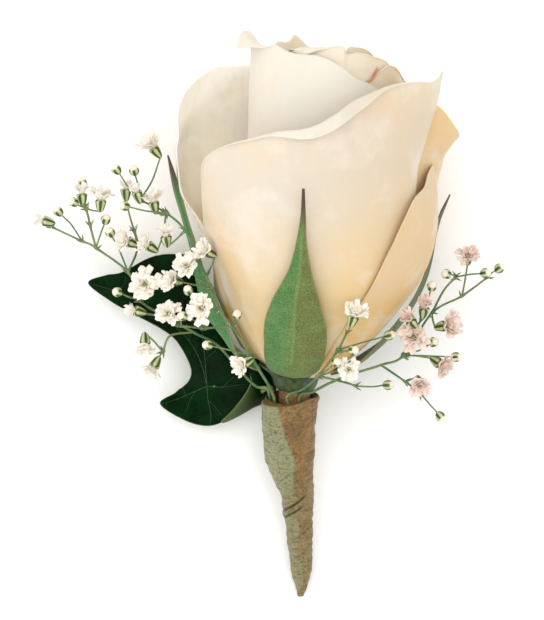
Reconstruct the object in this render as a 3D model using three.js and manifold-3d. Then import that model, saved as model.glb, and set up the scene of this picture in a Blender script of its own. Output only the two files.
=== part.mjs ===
// A rose boutonniere laid on its back: one rose bloom with its calyx and stem, an ivy leaf and four sprays
// of gypsophila, all gathered in a taped stem wrap. Millimetres, +Z up. The flower head points along +Y, the
// tip of the wrap along -Y, and the origin is the middle of the small flat where the bloom rests.
import * as THREE from 'three';
import { mergeVertices } from 'three/addons/utils/BufferGeometryUtils.js';
import Module from 'manifold-3d';

const wasm = await Module();
wasm.setup();

// ---- Driving sizes ----
const SHEET = 0.18;                 // one square of the layout sheet
const SHEET_ORIGIN = [319, 212];    // the square over the origin
const SHEET_MIDDLE = [272, 310];    // the square under the eye that the sheet is drawn from
const EYE = 700;                    // height of that eye above the layer z = SHEET_LAYER
const SHEET_LAYER = 22;

const BLOOM_BASE = [-4.14, -30.24, 13.2];
const BLOOM_TILT = THREE.MathUtils.degToRad(13);    // the bloom's top rises by this
const BLOOM_LEAN = THREE.MathUtils.degToRad(2.3);   // and leans to the right by this
const CUP_RADIUS = 23.8;            // the cup of outer petals flares towards this radius
const CUP_RISE = 15;
const CUP_START = 2;
const CUP_WAIST = 1.3;              // it is drawn in by this a quarter of the way up
const PETAL = 0.8;                  // thickness of a petal
const PETAL_FOOT = 2.2;             // the outer petals start this far above the base
const SEPAL = 0.8;
const GAP = 0.3;                    // clearance between pieces that touch in life
const CORE_TOP = 33;                // the closed heart that the petals stand on

const WRAP_WALL = 0.75;
const STEM_RADIUS = 2.2;
const STEM_ASIDE = 0.8;             // the rose stem stands this far right in the wrap, the stalks left of it
const STALK = 0.4;                 // radius of a gypsophila stalk in the wrap
const LEAF_THICK = 0.8;

// ---- Layout ----
// A point of the layout sheet at height z.
function at(x, y, z) {
  const k = (EYE - (z - SHEET_LAYER)) / EYE * SHEET;
  return new THREE.Vector3(
    (x - SHEET_MIDDLE[0]) * k + (SHEET_MIDDLE[0] - SHEET_ORIGIN[0]) * SHEET,
    (SHEET_MIDDLE[1] - y) * k + (SHEET_ORIGIN[1] - SHEET_MIDDLE[1]) * SHEET,
    z);
}

// The value at t, 0 to 1, of a smooth line through evenly spaced values.
function smooth(values, t) {
  const n = values.length - 1;
  const x = THREE.MathUtils.clamp(t, 0, 1) * n;
  const i = Math.min(Math.floor(x), n - 1);
  const f = x - i;
  const p = (k) => (k < 0 ? 2 * values[0] - values[1] : k > n ? 2 * values[n] - values[n - 1] : values[k]);
  const [a, b, c, d] = [p(i - 1), p(i), p(i + 1), p(i + 2)];
  return b + 0.5 * f * (c - a + f * (2 * a - 5 * b + 4 * c - d + f * (3 * (b - c) + d - a)));
}

// ---- Solids ----
function geometryOf(points, faces) {
  const g = new THREE.BufferGeometry();
  g.setAttribute('position', new THREE.Float32BufferAttribute(points.flatMap((p) => [p.x, p.y, p.z]), 3));
  let volume = 0;
  for (const [a, b, c] of faces) volume += points[a].dot(points[b].clone().cross(points[c]));
  g.setIndex(faces.flatMap(([a, b, c]) => (volume < 0 ? [a, c, b] : [a, b, c])));
  return g;
}

function solid(geometry) {
  let g = geometry;
  g.deleteAttribute('normal');
  g.deleteAttribute('uv');
  g = mergeVertices(g, 1e-5);
  return new wasm.Manifold(new wasm.Mesh({
    numProp: 3,
    vertProperties: new Float32Array(g.attributes.position.array),
    triVerts: new Uint32Array(g.index.array),
  }));
}

const join = (pieces) => wasm.Manifold.union(pieces);

// The same solid with the pockets that no air reaches filled in.
function filled(shape) {
  const { vertProperties: v, triVerts: t, numProp: n } = shape.getMesh();
  const parent = Array.from({ length: v.length / n }, (_, i) => i);
  const root = (i) => {
    let r = i;
    while (parent[r] !== r) r = parent[r] = parent[parent[r]];
    return r;
  };
  for (let i = 0; i < t.length; i += 3) {
    parent[root(t[i])] = root(t[i + 1]);
    parent[root(t[i + 1])] = root(t[i + 2]);
  }
  const point = (i) => new THREE.Vector3(v[i * n], v[i * n + 1], v[i * n + 2]);
  const volume = new Map();
  for (let i = 0; i < t.length; i += 3) {
    const [a, b, c] = [point(t[i]), point(t[i + 1]), point(t[i + 2])];
    volume.set(root(t[i]), (volume.get(root(t[i])) ?? 0) + a.dot(b.cross(c)));
  }
  const kept = [];
  for (let i = 0; i < t.length; i += 3) {
    if (volume.get(root(t[i])) > 0) kept.push(t[i], t[i + 1], t[i + 2]);
  }
  return new wasm.Manifold(new wasm.Mesh({ numProp: n, vertProperties: v, triVerts: new Uint32Array(kept) }));
}

// A closed sheet of even thickness along the surface point(u, v).
function sheet(point, nu, nv, thick) {
  const points = [];
  const e = 1e-3;
  for (const side of [0.5, -0.5]) {
    for (let i = 0; i <= nu; i++) {
      for (let j = 0; j <= nv; j++) {
        const [u, v] = [i / nu, j / nv];
        const du = point(Math.min(u + e, 1), v).sub(point(Math.max(u - e, 0), v));
        const dv = point(u, Math.min(v + e, 1)).sub(point(u, Math.max(v - e, 0)));
        points.push(point(u, v).addScaledVector(du.cross(dv).normalize(), side * thick));
      }
    }
  }
  const id = (s, i, j) => s * (nu + 1) * (nv + 1) + i * (nv + 1) + j;
  const faces = [];
  const quad = (a, b, c, d) => faces.push([a, b, c], [a, c, d]);
  for (let i = 0; i < nu; i++) {
    for (let j = 0; j < nv; j++) {
      quad(id(0, i, j), id(0, i + 1, j), id(0, i + 1, j + 1), id(0, i, j + 1));
      quad(id(1, i, j), id(1, i, j + 1), id(1, i + 1, j + 1), id(1, i + 1, j));
    }
    quad(id(0, i, 0), id(1, i, 0), id(1, i + 1, 0), id(0, i + 1, 0));
    quad(id(0, i, nv), id(0, i + 1, nv), id(1, i + 1, nv), id(1, i, nv));
  }
  for (let j = 0; j < nv; j++) {
    quad(id(0, 0, j), id(0, 0, j + 1), id(1, 0, j + 1), id(1, 0, j));
    quad(id(0, nu, j), id(1, nu, j), id(1, nu, j + 1), id(0, nu, j + 1));
  }
  return geometryOf(points, faces);
}

// A closed skin over rings of points, with a flat fan at each end.
function skin(rings) {
  const n = rings[0].length;
  const points = rings.flat();
  const faces = [];
  for (let i = 0; i + 1 < rings.length; i++) {
    for (let j = 0; j < n; j++) {
      const [a, b] = [i * n + j, i * n + ((j + 1) % n)];
      faces.push([a, b, b + n], [a, b + n, a + n]);
    }
  }
  const last = (rings.length - 1) * n;
  for (let j = 1; j + 1 < n; j++) {
    faces.push([0, j + 1, j], [last, last + j, last + j + 1]);
  }
  return geometryOf(points, faces);
}

// Rings of the given radii square to a line of points.
function rings(line, radii, sides, turn = 0) {
  let side = null;
  return line.map((p, i) => {
    const along = line[Math.min(i + 1, line.length - 1)].clone().sub(line[Math.max(i - 1, 0)]).normalize();
    const seed = side ?? (Math.abs(along.z) < 0.9 ? new THREE.Vector3(0, 0, 1) : new THREE.Vector3(1, 0, 0));
    side = seed.clone().addScaledVector(along, -seed.dot(along)).normalize();
    const up = along.clone().cross(side);
    return Array.from({ length: sides }, (_, k) => {
      const a = turn + (k / sides) * Math.PI * 2;
      return p.clone().addScaledVector(side, Math.cos(a) * radii[i]).addScaledVector(up, Math.sin(a) * radii[i]);
    });
  });
}

const tube = (line, radii, sides = 6) => skin(rings(line, radii, sides));

// ---- The rose's own frame: z along its axis from the base, azimuth 0 to the front, + to the right ----
const cupRadius = (z) => CUP_RADIUS * (1 - Math.exp(-(z + CUP_START) / CUP_RISE))
  - CUP_WAIST * Math.exp(-(((z - 12) / 9) ** 2));
const cupBow = (z) => 3.5 * Math.sin(Math.PI * (THREE.MathUtils.clamp(z, 0, 42) / 42) ** 0.9);
const shrink = (z) => Math.min(1, Math.max(0, z) / 12 + 0.15);   // layers close up towards the base

const bloomFrame = new THREE.Matrix4()
  .makeTranslation(...BLOOM_BASE)
  .multiply(new THREE.Matrix4().makeRotationZ(-BLOOM_LEAN))
  .multiply(new THREE.Matrix4().makeBasis(
    new THREE.Vector3(1, 0, 0),
    new THREE.Vector3(0, Math.sin(BLOOM_TILT), -Math.cos(BLOOM_TILT)),
    new THREE.Vector3(0, Math.cos(BLOOM_TILT), Math.sin(BLOOM_TILT))));

const place = (x, y, z) => new THREE.Vector3(x, y, z).applyMatrix4(bloomFrame);

function round(azimuth, radius, z, axisX) {
  const a = THREE.MathUtils.degToRad(azimuth);
  return place(axisX + radius * Math.sin(a), -radius * Math.cos(a), z);
}

// Outer petals. Each station is [azimuth, top, inset from the cup, lean in at the top, lip, swing].
const OUTER = {
  outerRight: [[20, 6, -.2, .3, .3, 0], [24, 14, -.4, .2, .3, 0], [30, 21, -.5, .1, .4, 0],
    [37, 28, -.5, 0, .5, 0], [47, 34.5, -.5, -.1, .6, 0], [62, 38.6, -.4, -.3, .7, 0],
    [80, 41.2, -.4, -.3, .7, 0], [102, 40.5, -.5, -.3, .5, 0], [128, 38, -1, 0, .4, 0],
    [152, 33, -1, 0, .3, 0], [172, 26, -1.2, 0, .3, 0]],
  outerBack: [[122, 30, .8, 0, .4, 0], [145, 40, .6, 0, 1, 0], [168, 44, .3, 0, 2, 0],
    [190, 45, 0, -.4, 2, 0], [212, 43, -.2, -.4, 1.5, 0], [230, 38, -.5, 0, .8, 0], [246, 28, -.8, 0, .4, 0]],
  front: [[-86, 20, -.3, .4, .3, 0], [-80, 26.5, -.3, .4, .3, 0], [-72, 30.4, -.2, .4, .4, 0],
    [-64, 34.6, -.2, .3, .7, 0], [-59, 39.2, -.1, .2, 1.2, 0], [-50, 43.6, .3, 0, 1.4, 0],
    [-37, 46.6, .7, -.2, 1.2, 0], [-18, 48.9, .9, -.4, 1.5, 0], [-3, 50.4, 1, -.8, 3, 0],
    [10, 53.2, 1, -1, 4, 0], [21, 55.6, 1, -.8, 3.6, 0], [33, 57.4, 1, -.6, 1.4, 2],
    [44, 57.5, 1, -.8, .6, 10], [50, 57.2, 1, -1.4, .3, 20], [52, 58.4, 1, -2.2, .15, 31]],
  leftBack: [[-178, 53, 2.2, 1.5, .4, 0], [-160, 54.6, 1.9, 1.5, .5, 0], [-140, 55, 1.4, 1.4, .5, 0],
    [-122, 54.2, .3, 1.4, .4, 0], [-107, 51.4, -.4, .9, .3, 0], [-98, 49, -.5, .3, .2, 0],
    [-93, 45.6, -.5, 0, .2, 0], [-90, 40.6, -.4, 0, .2, 0], [-88, 35, -.3, 0, .3, 0],
    [-84, 28, .3, 0, .3, 0], [-76, 22, 1, 0, .3, 0]],
  rightBack: [[50, 53, 2.4, .5, .2, 0], [62, 54, 2.2, -.4, .2, 0], [74, 53, 2, -1.8, .3, 0],
    [84, 49.6, 2, -4.2, .4, 0], [94, 46.2, 2, -6.4, .4, 0], [104, 44.4, 2, -6.4, .5, 0],
    [118, 47, 2, -4.4, .5, 0], [136, 51, 2, -2, .4, 0], [154, 53, 2.2, -.5, .3, 0], [172, 53, 2.8, 0, .3, 0]],
};

// Petals of the bud. Each station is [azimuth, top, out from the radius].
const BUD = {
  budFront: { radius: 15.1, steps: [14, 4], stations: [[-112, 57, .2], [-107, 59.8, 1.8], [-100, 62, 3],
    [-93, 63.2, 3], [-83, 63.5, 2.2], [-71, 63.4, 1.2], [-59, 63.2, .2], [-48, 62.9, 0], [-38, 62.1, 0],
    [-28, 62.1, 0], [-17, 62.2, 0], [-7, 61.7, 0], [3, 60.5, 0], [14, 58.4, 0], [26, 56.8, 0], [40, 55.4, 0],
    [58, 54, 0], [78, 53, .2], [100, 52, .5]] },
  budRight: { radius: 14.5, steps: [11, 3], stations: [[17, 51, -.2], [23, 55.6, 0], [31, 58.4, 0], [40, 59.8, 0],
    [48, 60, 0], [60, 58.4, 0], [77, 55.8, 0], [97, 54.4, 0], [118, 54.6, 0], [140, 56, 0], [160, 57, 0],
    [178, 56.6, 0], [196, 55, -.6]] },
  heartFront: { radius: 13.6, steps: [11, 3], stations: [[-46, 56, -.9], [-36, 61.4, -.6], [-26, 63.4, -.4],
    [-16, 63.8, -.5], [-5, 63.4, -.6], [5, 63, -.6], [11, 61.4, -.5], [17, 62, -.4], [26, 62.6, -.4],
    [36, 62.2, -.4], [47, 60.8, -.4], [60, 58, -.4], [74, 54, -.5]] },
  budBack: { radius: 13.1, steps: [10, 2], stations: [[152, 55, -.5], [168, 57.4, -.3], [184, 59, 0], [198, 59.6, 0],
    [209, 61, .2], [219, 60.2, 0], [230, 61, .2], [240, 60.1, 0], [252, 60, 0], [266, 59.4, 0], [282, 57, -.5]] },
  heartRight: { radius: 11, steps: [6, 2], stations: [[0, 55, .2], [10, 62, .3], [20, 63, .3], [32, 62.2, .2],
    [52, 59.4, .2], [84, 57.4, 0], [112, 56.6, -.1], [142, 57.2, -.2], [166, 56, -.5]] },
  heartBack: { radius: 10.2, steps: [5, 2], stations: [[130, 54.4, -.7], [158, 57.4, -.3], [184, 58.2, 0],
    [212, 58.4, 0], [240, 58.6, .1], [262, 57, .1]] },
  heartLeft: { radius: 9.6, steps: [5, 2], stations: [[222, 55, -.8], [250, 58.2, -.4], [280, 60.4, 0],
    [308, 61.2, .2], [330, 60.8, .3], [352, 59.4, .3], [372, 56.6, .2]] },
  innerFront: { radius: 7, steps: [5, 2], stations: [[-60, 55.6, -.4], [-20, 58, 0], [20, 59, 0], [62, 58.6, 0],
    [100, 56, -.4]] },
  innerBack: { radius: 6, steps: [5, 2], stations: [[90, 55.4, -.6], [150, 58, 0], [210, 58.4, 0], [270, 58.6, 0],
    [320, 56, .2]] },
};
const HEART_RADIUS = 4;             // the rolled middle of the bud
const HEART_TOP = 56.5;
const BUD_AXIS = 4.3;               // the bud stands this far to the right of the cup

function outerPetal(stations) {
  const column = (k) => stations.map((s) => s[k]);
  const point = (u, v) => {
    const top = smooth(column(1), u);
    const z = PETAL_FOOT + (top - PETAL_FOOT) * v;
    const w = z / top;
    const curl = smooth(column(4), u) * 0.3 * Math.max(0, (w - 0.9) / 0.1);
    const radius = cupRadius(z) - (smooth(column(2), u) + smooth(column(3), u) * w ** 4) * shrink(z) + curl;
    return round(smooth(column(0), u) + smooth(column(5), u) * w ** 3, radius, z, cupBow(z));
  };
  return sheet(point, 9, 6, PETAL);
}

function budPetal({ radius, stations, steps }) {
  const column = (k) => stations.map((s) => s[k]);
  const point = (u, v) => {
    const z = CORE_TOP - 4 + (smooth(column(1), u) - CORE_TOP + 4) * v;
    return round(smooth(column(0), u), radius + smooth(column(2), u) * v ** 5 - 0.8 * v ** 6, z, BUD_AXIS);
  };
  return sheet(point, ...steps, PETAL);
}

function lathed(profile, axis, sides) {
  return skin(profile.map(([z, radius]) => Array.from({ length: sides },
    (_, k) => round((k / sides) * 360, radius, z, axis(z)))));
}

// The bloom: petals fused to one closed heart, with the small flat that it rests on.
function bloom() {
  const core = [[GAP, 2.7], [2, 4.7], [4, 6.6], [7, 8.8], [11, 11.2], [16, 13.4], [23, 16.2], [CORE_TOP, 17.8]];
  const heart = [[CORE_TOP - 5, 8], [CORE_TOP + 8, HEART_RADIUS + 2], [50, HEART_RADIUS], [HEART_TOP, HEART_RADIUS - 1.5]];
  const pieces = [
    lathed(core, cupBow, 16),
    lathed(heart, () => BUD_AXIS + 0.6, 8),
    ...Object.values(OUTER).map(outerPetal),
    ...Object.values(BUD).map(budPetal),
  ].map(solid);
  const below = new THREE.BoxGeometry(120, 120, 20);
  below.translate(0, 0, -10);
  return filled(join(pieces).subtract(solid(below)));
}

// ---- Calyx: a receptacle with five sepals, and the cut stem below it ----
// Each sepal: its azimuths from base to tip, its widest half width, how far it stands off the petals, how far
// those petals stand out from the cup, the height of its tip, and how far it turns edge-on from the petals.
const SEPAL_OUTLINE = [.47, .89, 1, .93, .67, .35, .17, .08, .04];
const SIDE_OUTLINE = [.47, .8, .86, .78, .66, .52, .4, .3, .25, .27, .2, .05];     // of the two turned edge-on
const SEPALS = [
  { azimuth: [-18.5, -16, -15, -14.5, -12.5, -9.5, -7, -4, -1.5], width: 6, off: [0, 0, 0, 0, .2, .5], rest: 0,
    top: 39.5, twist: 0 },
  { azimuth: [-88, -90, -92, -93, -92, -90], width: 4.6, off: [0, 2.8, 3.5, 3.5, 3.1, 2.3, 1.4, .9, .5, .4, .6],
    rest: 1.0, top: 40.5, twist: -0.6 },
  { azimuth: [76, 86, 96, 101, 104, 103, 96], width: 4.9, off: [0, .9, 1.05, .95, .75, .55, .45, .35, .4, .6],
    rest: 0.8, top: 34.5, twist: 0.34 },
  { azimuth: [140, 135, 130, 128, 127, 126], width: 4, off: [0, .3, .3, .3, .4, .6], rest: 1.6, top: 29, twist: 0 },
  { azimuth: [-157, -145, -136, -132, -130, -129], width: 4, off: [0, .3, .3, .3, .4, .6], rest: 1.3, top: 30,
    twist: 0 },
];
const petalSurface = (z, rest) => cupRadius(z) + rest * shrink(z) + PETAL / 2 + GAP + 0.15 + SEPAL / 2
  + 0.35 * Math.exp(-(((z - 2) / 3) ** 2));

function sepal({ azimuth, width, off, rest, top, twist }) {
  const point = (u, v) => {
    const h = v ** 1.6;
    const z = -1 + (top + 1) * h;
    const radius = petalSurface(Math.max(0, z), rest) + smooth(off, h);
    const across = Math.max(0.3, width * smooth(twist ? SIDE_OUTLINE : SEPAL_OUTLINE, h)) * (2 * u - 1);
    const lift = 0.02 * Math.abs(across) ** 1.5 + twist * across * THREE.MathUtils.smoothstep(z, 3, 12);
    return round(smooth(azimuth, h) + THREE.MathUtils.radToDeg(across / radius), radius + lift, z, cupBow(z));
  };
  return sheet(point, 4, 10, SEPAL);
}

// The line that the stem and the wrap follow, from the wrap's mouth (0) to its tip.
const WRAP = [          // sheet x, sheet y, height, radius
  [290, 397, 12.9, 5], [289.5, 414, 12, 4.8], [289, 433, 10.9, 4.7], [291, 461, 9.3, 4.3],
  [296, 486, 7.6, 3.3], [298, 510, 6.1, 2.75], [300.5, 547, 4.1, 2.05], [302, 578, 2.2, 1.25], [301.5, 595, 1, .7],
];
const wrapPoint = (t) => at(smooth(WRAP.map((p) => p[0]), t), smooth(WRAP.map((p) => p[1]), t), smooth(WRAP.map((p) => p[2]), t));
const wrapRadius = (t) => smooth(WRAP.map((p) => p[3]), t);
const wrapAxis = wrapPoint(0).sub(wrapPoint(0.25)).normalize();     // out of the mouth

function calyx() {
  const inside = (depth) => wrapPoint(0).addScaledVector(wrapAxis, -depth).add(new THREE.Vector3(STEM_ASIDE, 0, 0));
  const stem = [inside(11), inside(6), inside(0), place(-0.2, 0, -2.4), place(0, 0, -0.9)];
  const receptacle = [[-2, 2.3], [-1.5, 3.2], [-0.9, 4], [0, 4.5]];
  return join([
    tube(stem, stem.map(() => STEM_RADIUS), 12),
    lathed(receptacle, () => 0, 14),
    ...SEPALS.map(sepal),
  ].map(solid));
}

// ---- Tape wrap: a tapered sleeve with the ridge of its wound seam, solid from its waist to the twisted tip ----
const WRAP_STEPS = 20;
const WRAP_SIDES = 14;
const WRAP_MOUTH = 4.4;            // the sleeve's bore widens to this at its mouth
const WRAP_HOLLOW = 0.4;            // the sleeve is open down to this share of its length

function wrap() {
  const steps = Array.from({ length: WRAP_STEPS + 1 }, (_, i) => i / WRAP_STEPS);
  const line = steps.map(wrapPoint);
  const outside = rings(line, steps.map(wrapRadius), WRAP_SIDES).map((ring, i) => ring.map((p, k) => {
    const t = steps[i];
    const seam = Math.max(0, Math.cos(2 * Math.PI * (k / WRAP_SIDES - 2.6 * t)) - 0.8) * 1.1;
    const fold = 0.1 * Math.sin(k * 2.1 + i * 1.7) * (t < 0.04 ? 0.3 : 1);
    return p.clone().addScaledVector(p.clone().sub(line[i]).normalize(), Math.min(seam + fold, 0.3) * wrapRadius(t) / 4.8);
  }));
  const depth = steps.filter((t) => t <= WRAP_HOLLOW);
  const bore = [wrapPoint(0).addScaledVector(wrapAxis, 2), ...depth.map(wrapPoint)];
  const radii = depth.map((t) => (t === 0 ? WRAP_MOUTH : wrapRadius(t) - WRAP_WALL));
  return solid(skin(outside)).subtract(solid(tube(bore, [WRAP_MOUTH, ...radii], 12)));
}

// ---- Gypsophila ----
// The point in the ring between the stem and the wrap, at an azimuth and a depth below the mouth.
function inWrap(azimuth, depth, radius = 3.2) {
  const side = new THREE.Vector3(1, 0, 0).addScaledVector(wrapAxis, -wrapAxis.x).normalize();
  const up = side.clone().cross(wrapAxis);
  const a = THREE.MathUtils.degToRad(azimuth);
  return wrapPoint(0).addScaledVector(wrapAxis, -depth)
    .addScaledVector(side, Math.sin(a) * radius).addScaledVector(up, Math.cos(a) * radius);
}

// Each spray leaves the wrap at its azimuth. Stalks run through points of the layout sheet; a floret or a bud
// is [stalk root, head], and a floret may also face a given way.
const SPRAYS = {
  gypsophila_left_front: {
    azimuth: -50,
    stalks: [
      [[263, 376, 20], [251, 356, 22.5], [232, 326, 23.5], [220, 310, 23.5], [212, 289, 24], [200, 262, 24.5],
        [185, 230, 23.5], [166, 213, 22.5], [140, 200, 21.5]],
      [[232, 326, 23.5], [205, 328, 24], [180, 326, 23]],
    ],
    florets: [
      [[180, 326, 23], [169, 314, 23], [-.3, .2, 1]], [[220, 310, 23.5], [201, 308, 27], [-.2, -.3, 1]],
      [[212, 289, 24], [187, 267, 26], [-.3, .4, 1]], [[212, 289, 24], [174, 281, 21], [-.7, 0, .7]],
      [[200, 262, 24.5], [204, 251, 31.5], [-.1, .3, 1]], [[251, 356, 22.5], [243, 363, 26], [-.7, -.3, .7]],
      [[166, 213, 22.5], [158, 197, 23], [.1, .7, .7]], [[166, 213, 22.5], [160, 236, 24], [-.2, -.3, 1]],
      [[140, 200, 21.5], [136, 192, 24], [-.1, .3, 1]], [[140, 200, 21.5], [150, 143, 18], [.1, .9, .5]],
      [[166, 213, 22.5], [181, 234, 12], [.4, -.2, -.2]],
    ],
    buds: [
      [[205, 328, 24], [188, 290, 27]], [[205, 328, 24], [182, 316, 27]], [[232, 326, 23.5], [237, 314, 27.5]],
      [[251, 356, 22.5], [207, 345, 25]], [[140, 200, 21.5], [116, 169, 21]], [[140, 200, 21.5], [134, 170, 22]],
      [[166, 213, 22.5], [124, 206, 24]],
    ],
  },
  gypsophila_left_back: {
    azimuth: -85,
    stalks: [
      [[256, 386, 11], [238, 368, 9.2], [216, 344, 10.5], [193, 332, 13], [165, 316, 14.5], [140, 300, 15.5],
        [128, 272, 16], [96, 248, 16], [82, 241, 16], [52, 227, 16]],
      [[128, 272, 16], [137, 250, 16], [134, 230, 16]],
      [[96, 248, 16], [90, 225, 17], [86, 208, 17]],
      [[193, 332, 13], [170, 336, 15], [163, 352, 15]],
    ],
    florets: [
      [[52, 227, 16], [42, 220, 16], [-.7, .4, .5]], [[86, 208, 17], [83, 194, 17], [-.2, .7, .6]],
      [[86, 208, 17], [102, 192, 18], [.3, .6, .7]], [[134, 230, 16], [128, 241, 19], [-.4, 0, 1]],
      [[134, 230, 16], [126, 187, 17], [-.3, .6, .7]], [[140, 300, 15.5], [144, 283, 20], [0, .2, 1]],
      [[165, 316, 14.5], [149, 311, 19], [-.3, 0, 1]], [[163, 352, 15], [147, 344, 15], [-.8, .1, .5]],
      [[163, 352, 15], [156, 367, 15], [-.3, -.7, .6]],
    ],
    buds: [
      [[82, 241, 16], [58, 211, 16]], [[86, 208, 17], [73, 202, 18]], [[90, 225, 17], [82, 182, 16]],
      [[96, 248, 16], [106, 219, 17]], [[128, 272, 16], [110, 232, 18]], [[140, 300, 15.5], [117, 292, 17]],
      [[165, 316, 14.5], [137, 312, 16]],
    ],
  },
  gypsophila_right_front: {
    azimuth: -6,
    stalks: [
      [[303, 389, 19.5], [318, 376, 23.5], [338, 350, 28.5], [347, 332, 31]],
      [[318, 376, 23.5], [340, 381, 23], [356, 386, 22]],
    ],
    florets: [
      [[347, 332, 31], [355, 313, 34.6], [.1, .5, .9]], [[318, 376, 23.5], [350, 369, 26], [.3, 0, 1]],
    ],
    buds: [
      [[338, 350, 28.5], [390, 335, 25]], [[338, 350, 28.5], [354, 350, 30.5]], [[318, 376, 23.5], [337, 362, 29]],
      [[356, 386, 22], [389, 385, 21]],
    ],
  },
  gypsophila_right_back: {
    azimuth: 26,
    stalks: [
      [[312, 392, 18.5], [330, 383, 20], [352, 374, 20.5], [381, 365, 19], [404, 355, 18.5], [432, 313, 17.5],
        [462, 296, 17], [488, 277, 16.5]],
      [[381, 365, 19], [406, 382, 18], [421, 394, 17]],
      [[404, 355, 18.5], [410, 340, 19], [422, 318, 18]],
      [[432, 313, 17.5], [444, 290, 18], [456, 277, 18]],
    ],
    florets: [
      [[410, 340, 19], [414, 339, 24], [0, .1, 1]], [[410, 340, 19], [411, 321, 25.5], [-.3, .3, 1]],
      [[422, 318, 18], [425, 306, 25], [.3, .7, .7]], [[432, 313, 17.5], [447, 330, 20], [.6, -.2, .8]],
      [[404, 355, 18.5], [441, 364, 19], [.7, -.2, .7]], [[406, 382, 18], [421, 382, 21], [.3, 0, 1]],
      [[462, 296, 17], [468, 258, 17], [0, .8, .5]],
    ],
    buds: [
      [[404, 355, 18.5], [434, 342, 21]], [[404, 355, 18.5], [457, 357, 17]], [[421, 394, 17], [441, 417, 16]],
      [[456, 277, 18], [486, 273, 18.5]], [[488, 277, 16.5], [500, 268, 16]], [[422, 318, 18], [432, 286, 22.5]],
      [[456, 277, 18], [446, 274, 19]],
    ],
  },
};

function bent(root, head, sag) {
  const middle = root.clone().lerp(head, 0.5).add(new THREE.Vector3(0, 0, sag));
  return new THREE.CatmullRomCurve3([root, middle, head]).getPoints(2);
}

function head(centre, facing, profile, sides, notch = 1) {
  const axis = new THREE.Quaternion().setFromUnitVectors(new THREE.Vector3(0, 0, 1), facing.clone().normalize());
  return skin(profile.map(([z, radius], i) => Array.from({ length: sides }, (_, k) => {
    const a = (k / sides) * Math.PI * 2;
    const r = i > 1 && k % 2 ? radius * notch : radius;
    return new THREE.Vector3(Math.cos(a) * r, Math.sin(a) * r, z).applyQuaternion(axis).add(centre);
  })));
}

// Profiles of the heads, [height, radius]; a floret is notched between its five petals.
const FLORET = [[-1.9, .5], [-.3, 1.1], [.3, 2.6], [1.4, 2.1]];
const FLORET_NOTCH = 0.66;
const BUD_HEAD = [[-1.1, .4], [-.4, 1], [.4, 1], [1, .45]];

function spray({ azimuth, stalks, florets, buds }) {
  const pieces = [];
  const lift = new THREE.Vector3(0, 0, 0.6);
  const runs = stalks.map((stalk) => stalk.map((p) => at(...p)));
  runs[0] = [inWrap(azimuth, 7), inWrap(azimuth, 0.6), inWrap(azimuth, -1.7, 4.3), ...runs[0]];
  runs.forEach((run, i) => {
    const radii = run.map((_, k) => (i === 0 ? STALK : 0.36) - 0.1 * (k / run.length));
    pieces.push(tube(run, radii, 5));
  });
  for (const [root, end, facing] of florets) {
    const [a, b] = [at(...root), at(...end)];
    const to = new THREE.Vector3(...facing).normalize();
    const seat = b.clone().addScaledVector(to, -1.7);
    pieces.push(tube(bent(a, seat, 0.4), [.34, .32, .32], 4), head(b, to, FLORET, 10, FLORET_NOTCH));
  }
  for (const [root, end] of buds) {
    const [a, b] = [at(...root), at(...end)];
    const to = b.clone().sub(a).normalize().add(lift).normalize();
    pieces.push(tube(bent(a, b, 0.5), [.34, .32, .32], 4), head(b, to, BUD_HEAD, 4));
  }
  return join(pieces.map(solid));
}

// ---- Ivy leaf: an arched blade cut to its lobed outline, with its stalk ----
const LEAF_OUTLINE = [
  [242, 402], [227, 419], [209, 426], [186, 421], [160, 404], [176, 392], [189, 380], [190, 366],
  [177, 342], [161, 329], [133, 314], [110, 301], [88, 283], [106, 275], [122, 272], [151, 257], [175, 254],
  [193, 259], [204, 290], [214, 325], [230, 346], [246, 356], [262, 362], [273, 376], [276, 393], [262, 403],
];
const LEAF_CENTRE = [207, 386];

function leafHeight(x, y) {
  const [dx, dy] = [(x - LEAF_CENTRE[0]) * SHEET, (LEAF_CENTRE[1] - y) * SHEET];
  const along = -dx * 0.72 + dy * 0.69;               // towards the tip
  const across = dx * 0.69 + dy * 0.72;
  return 6.2 + 0.02 * along - 0.0011 * along * along - 0.012 * across * across + 0.05 * across;
}

function leaf() {
  const [x0, x1, y0, y1] = [80, 280, 246, 434];
  const blade = sheet((u, v) => {
    const [x, y] = [x0 + (x1 - x0) * u, y1 + (y0 - y1) * v];
    return at(x, y, leafHeight(x, y));
  }, 10, 10, LEAF_THICK);
  const outline = new THREE.Shape(LEAF_OUTLINE.map(([x, y]) => {
    const p = at(x, y, 6);
    return new THREE.Vector2(p.x, p.y);
  }));
  const prism = new THREE.ExtrudeGeometry(outline, { depth: 30, bevelEnabled: false });
  prism.translate(0, 0, -10);
  const root = at(213, 386, leafHeight(213, 386) - 0.2);
  const stalk = tube([inWrap(-118, 7), inWrap(-118, 0.6), inWrap(-118, -1.2, 4.3), at(255, 394, 4.9),
    at(233, 389, 4.9), root], [STALK, STALK, STALK, .5, .5, .45], 6);
  return join([solid(blade).intersect(solid(prism)), solid(stalk)]);
}

// ---- The scene graph ----
function piece(name, shape, color, roughness) {
  const { vertProperties, triVerts, numProp } = shape.getMesh();
  const g = new THREE.BufferGeometry();
  const position = new Float32Array(vertProperties.length / numProp * 3);
  for (let i = 0; i < position.length / 3; i++) {
    position.set(vertProperties.subarray(i * numProp, i * numProp + 3), i * 3);
  }
  g.setAttribute('position', new THREE.BufferAttribute(position, 3));
  g.setIndex(new THREE.BufferAttribute(new Uint32Array(triVerts), 1));
  g.computeVertexNormals();
  const mesh = new THREE.Mesh(g, new THREE.MeshStandardMaterial({ color, roughness, metalness: 0 }));
  mesh.name = name;
  return mesh;
}

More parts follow.
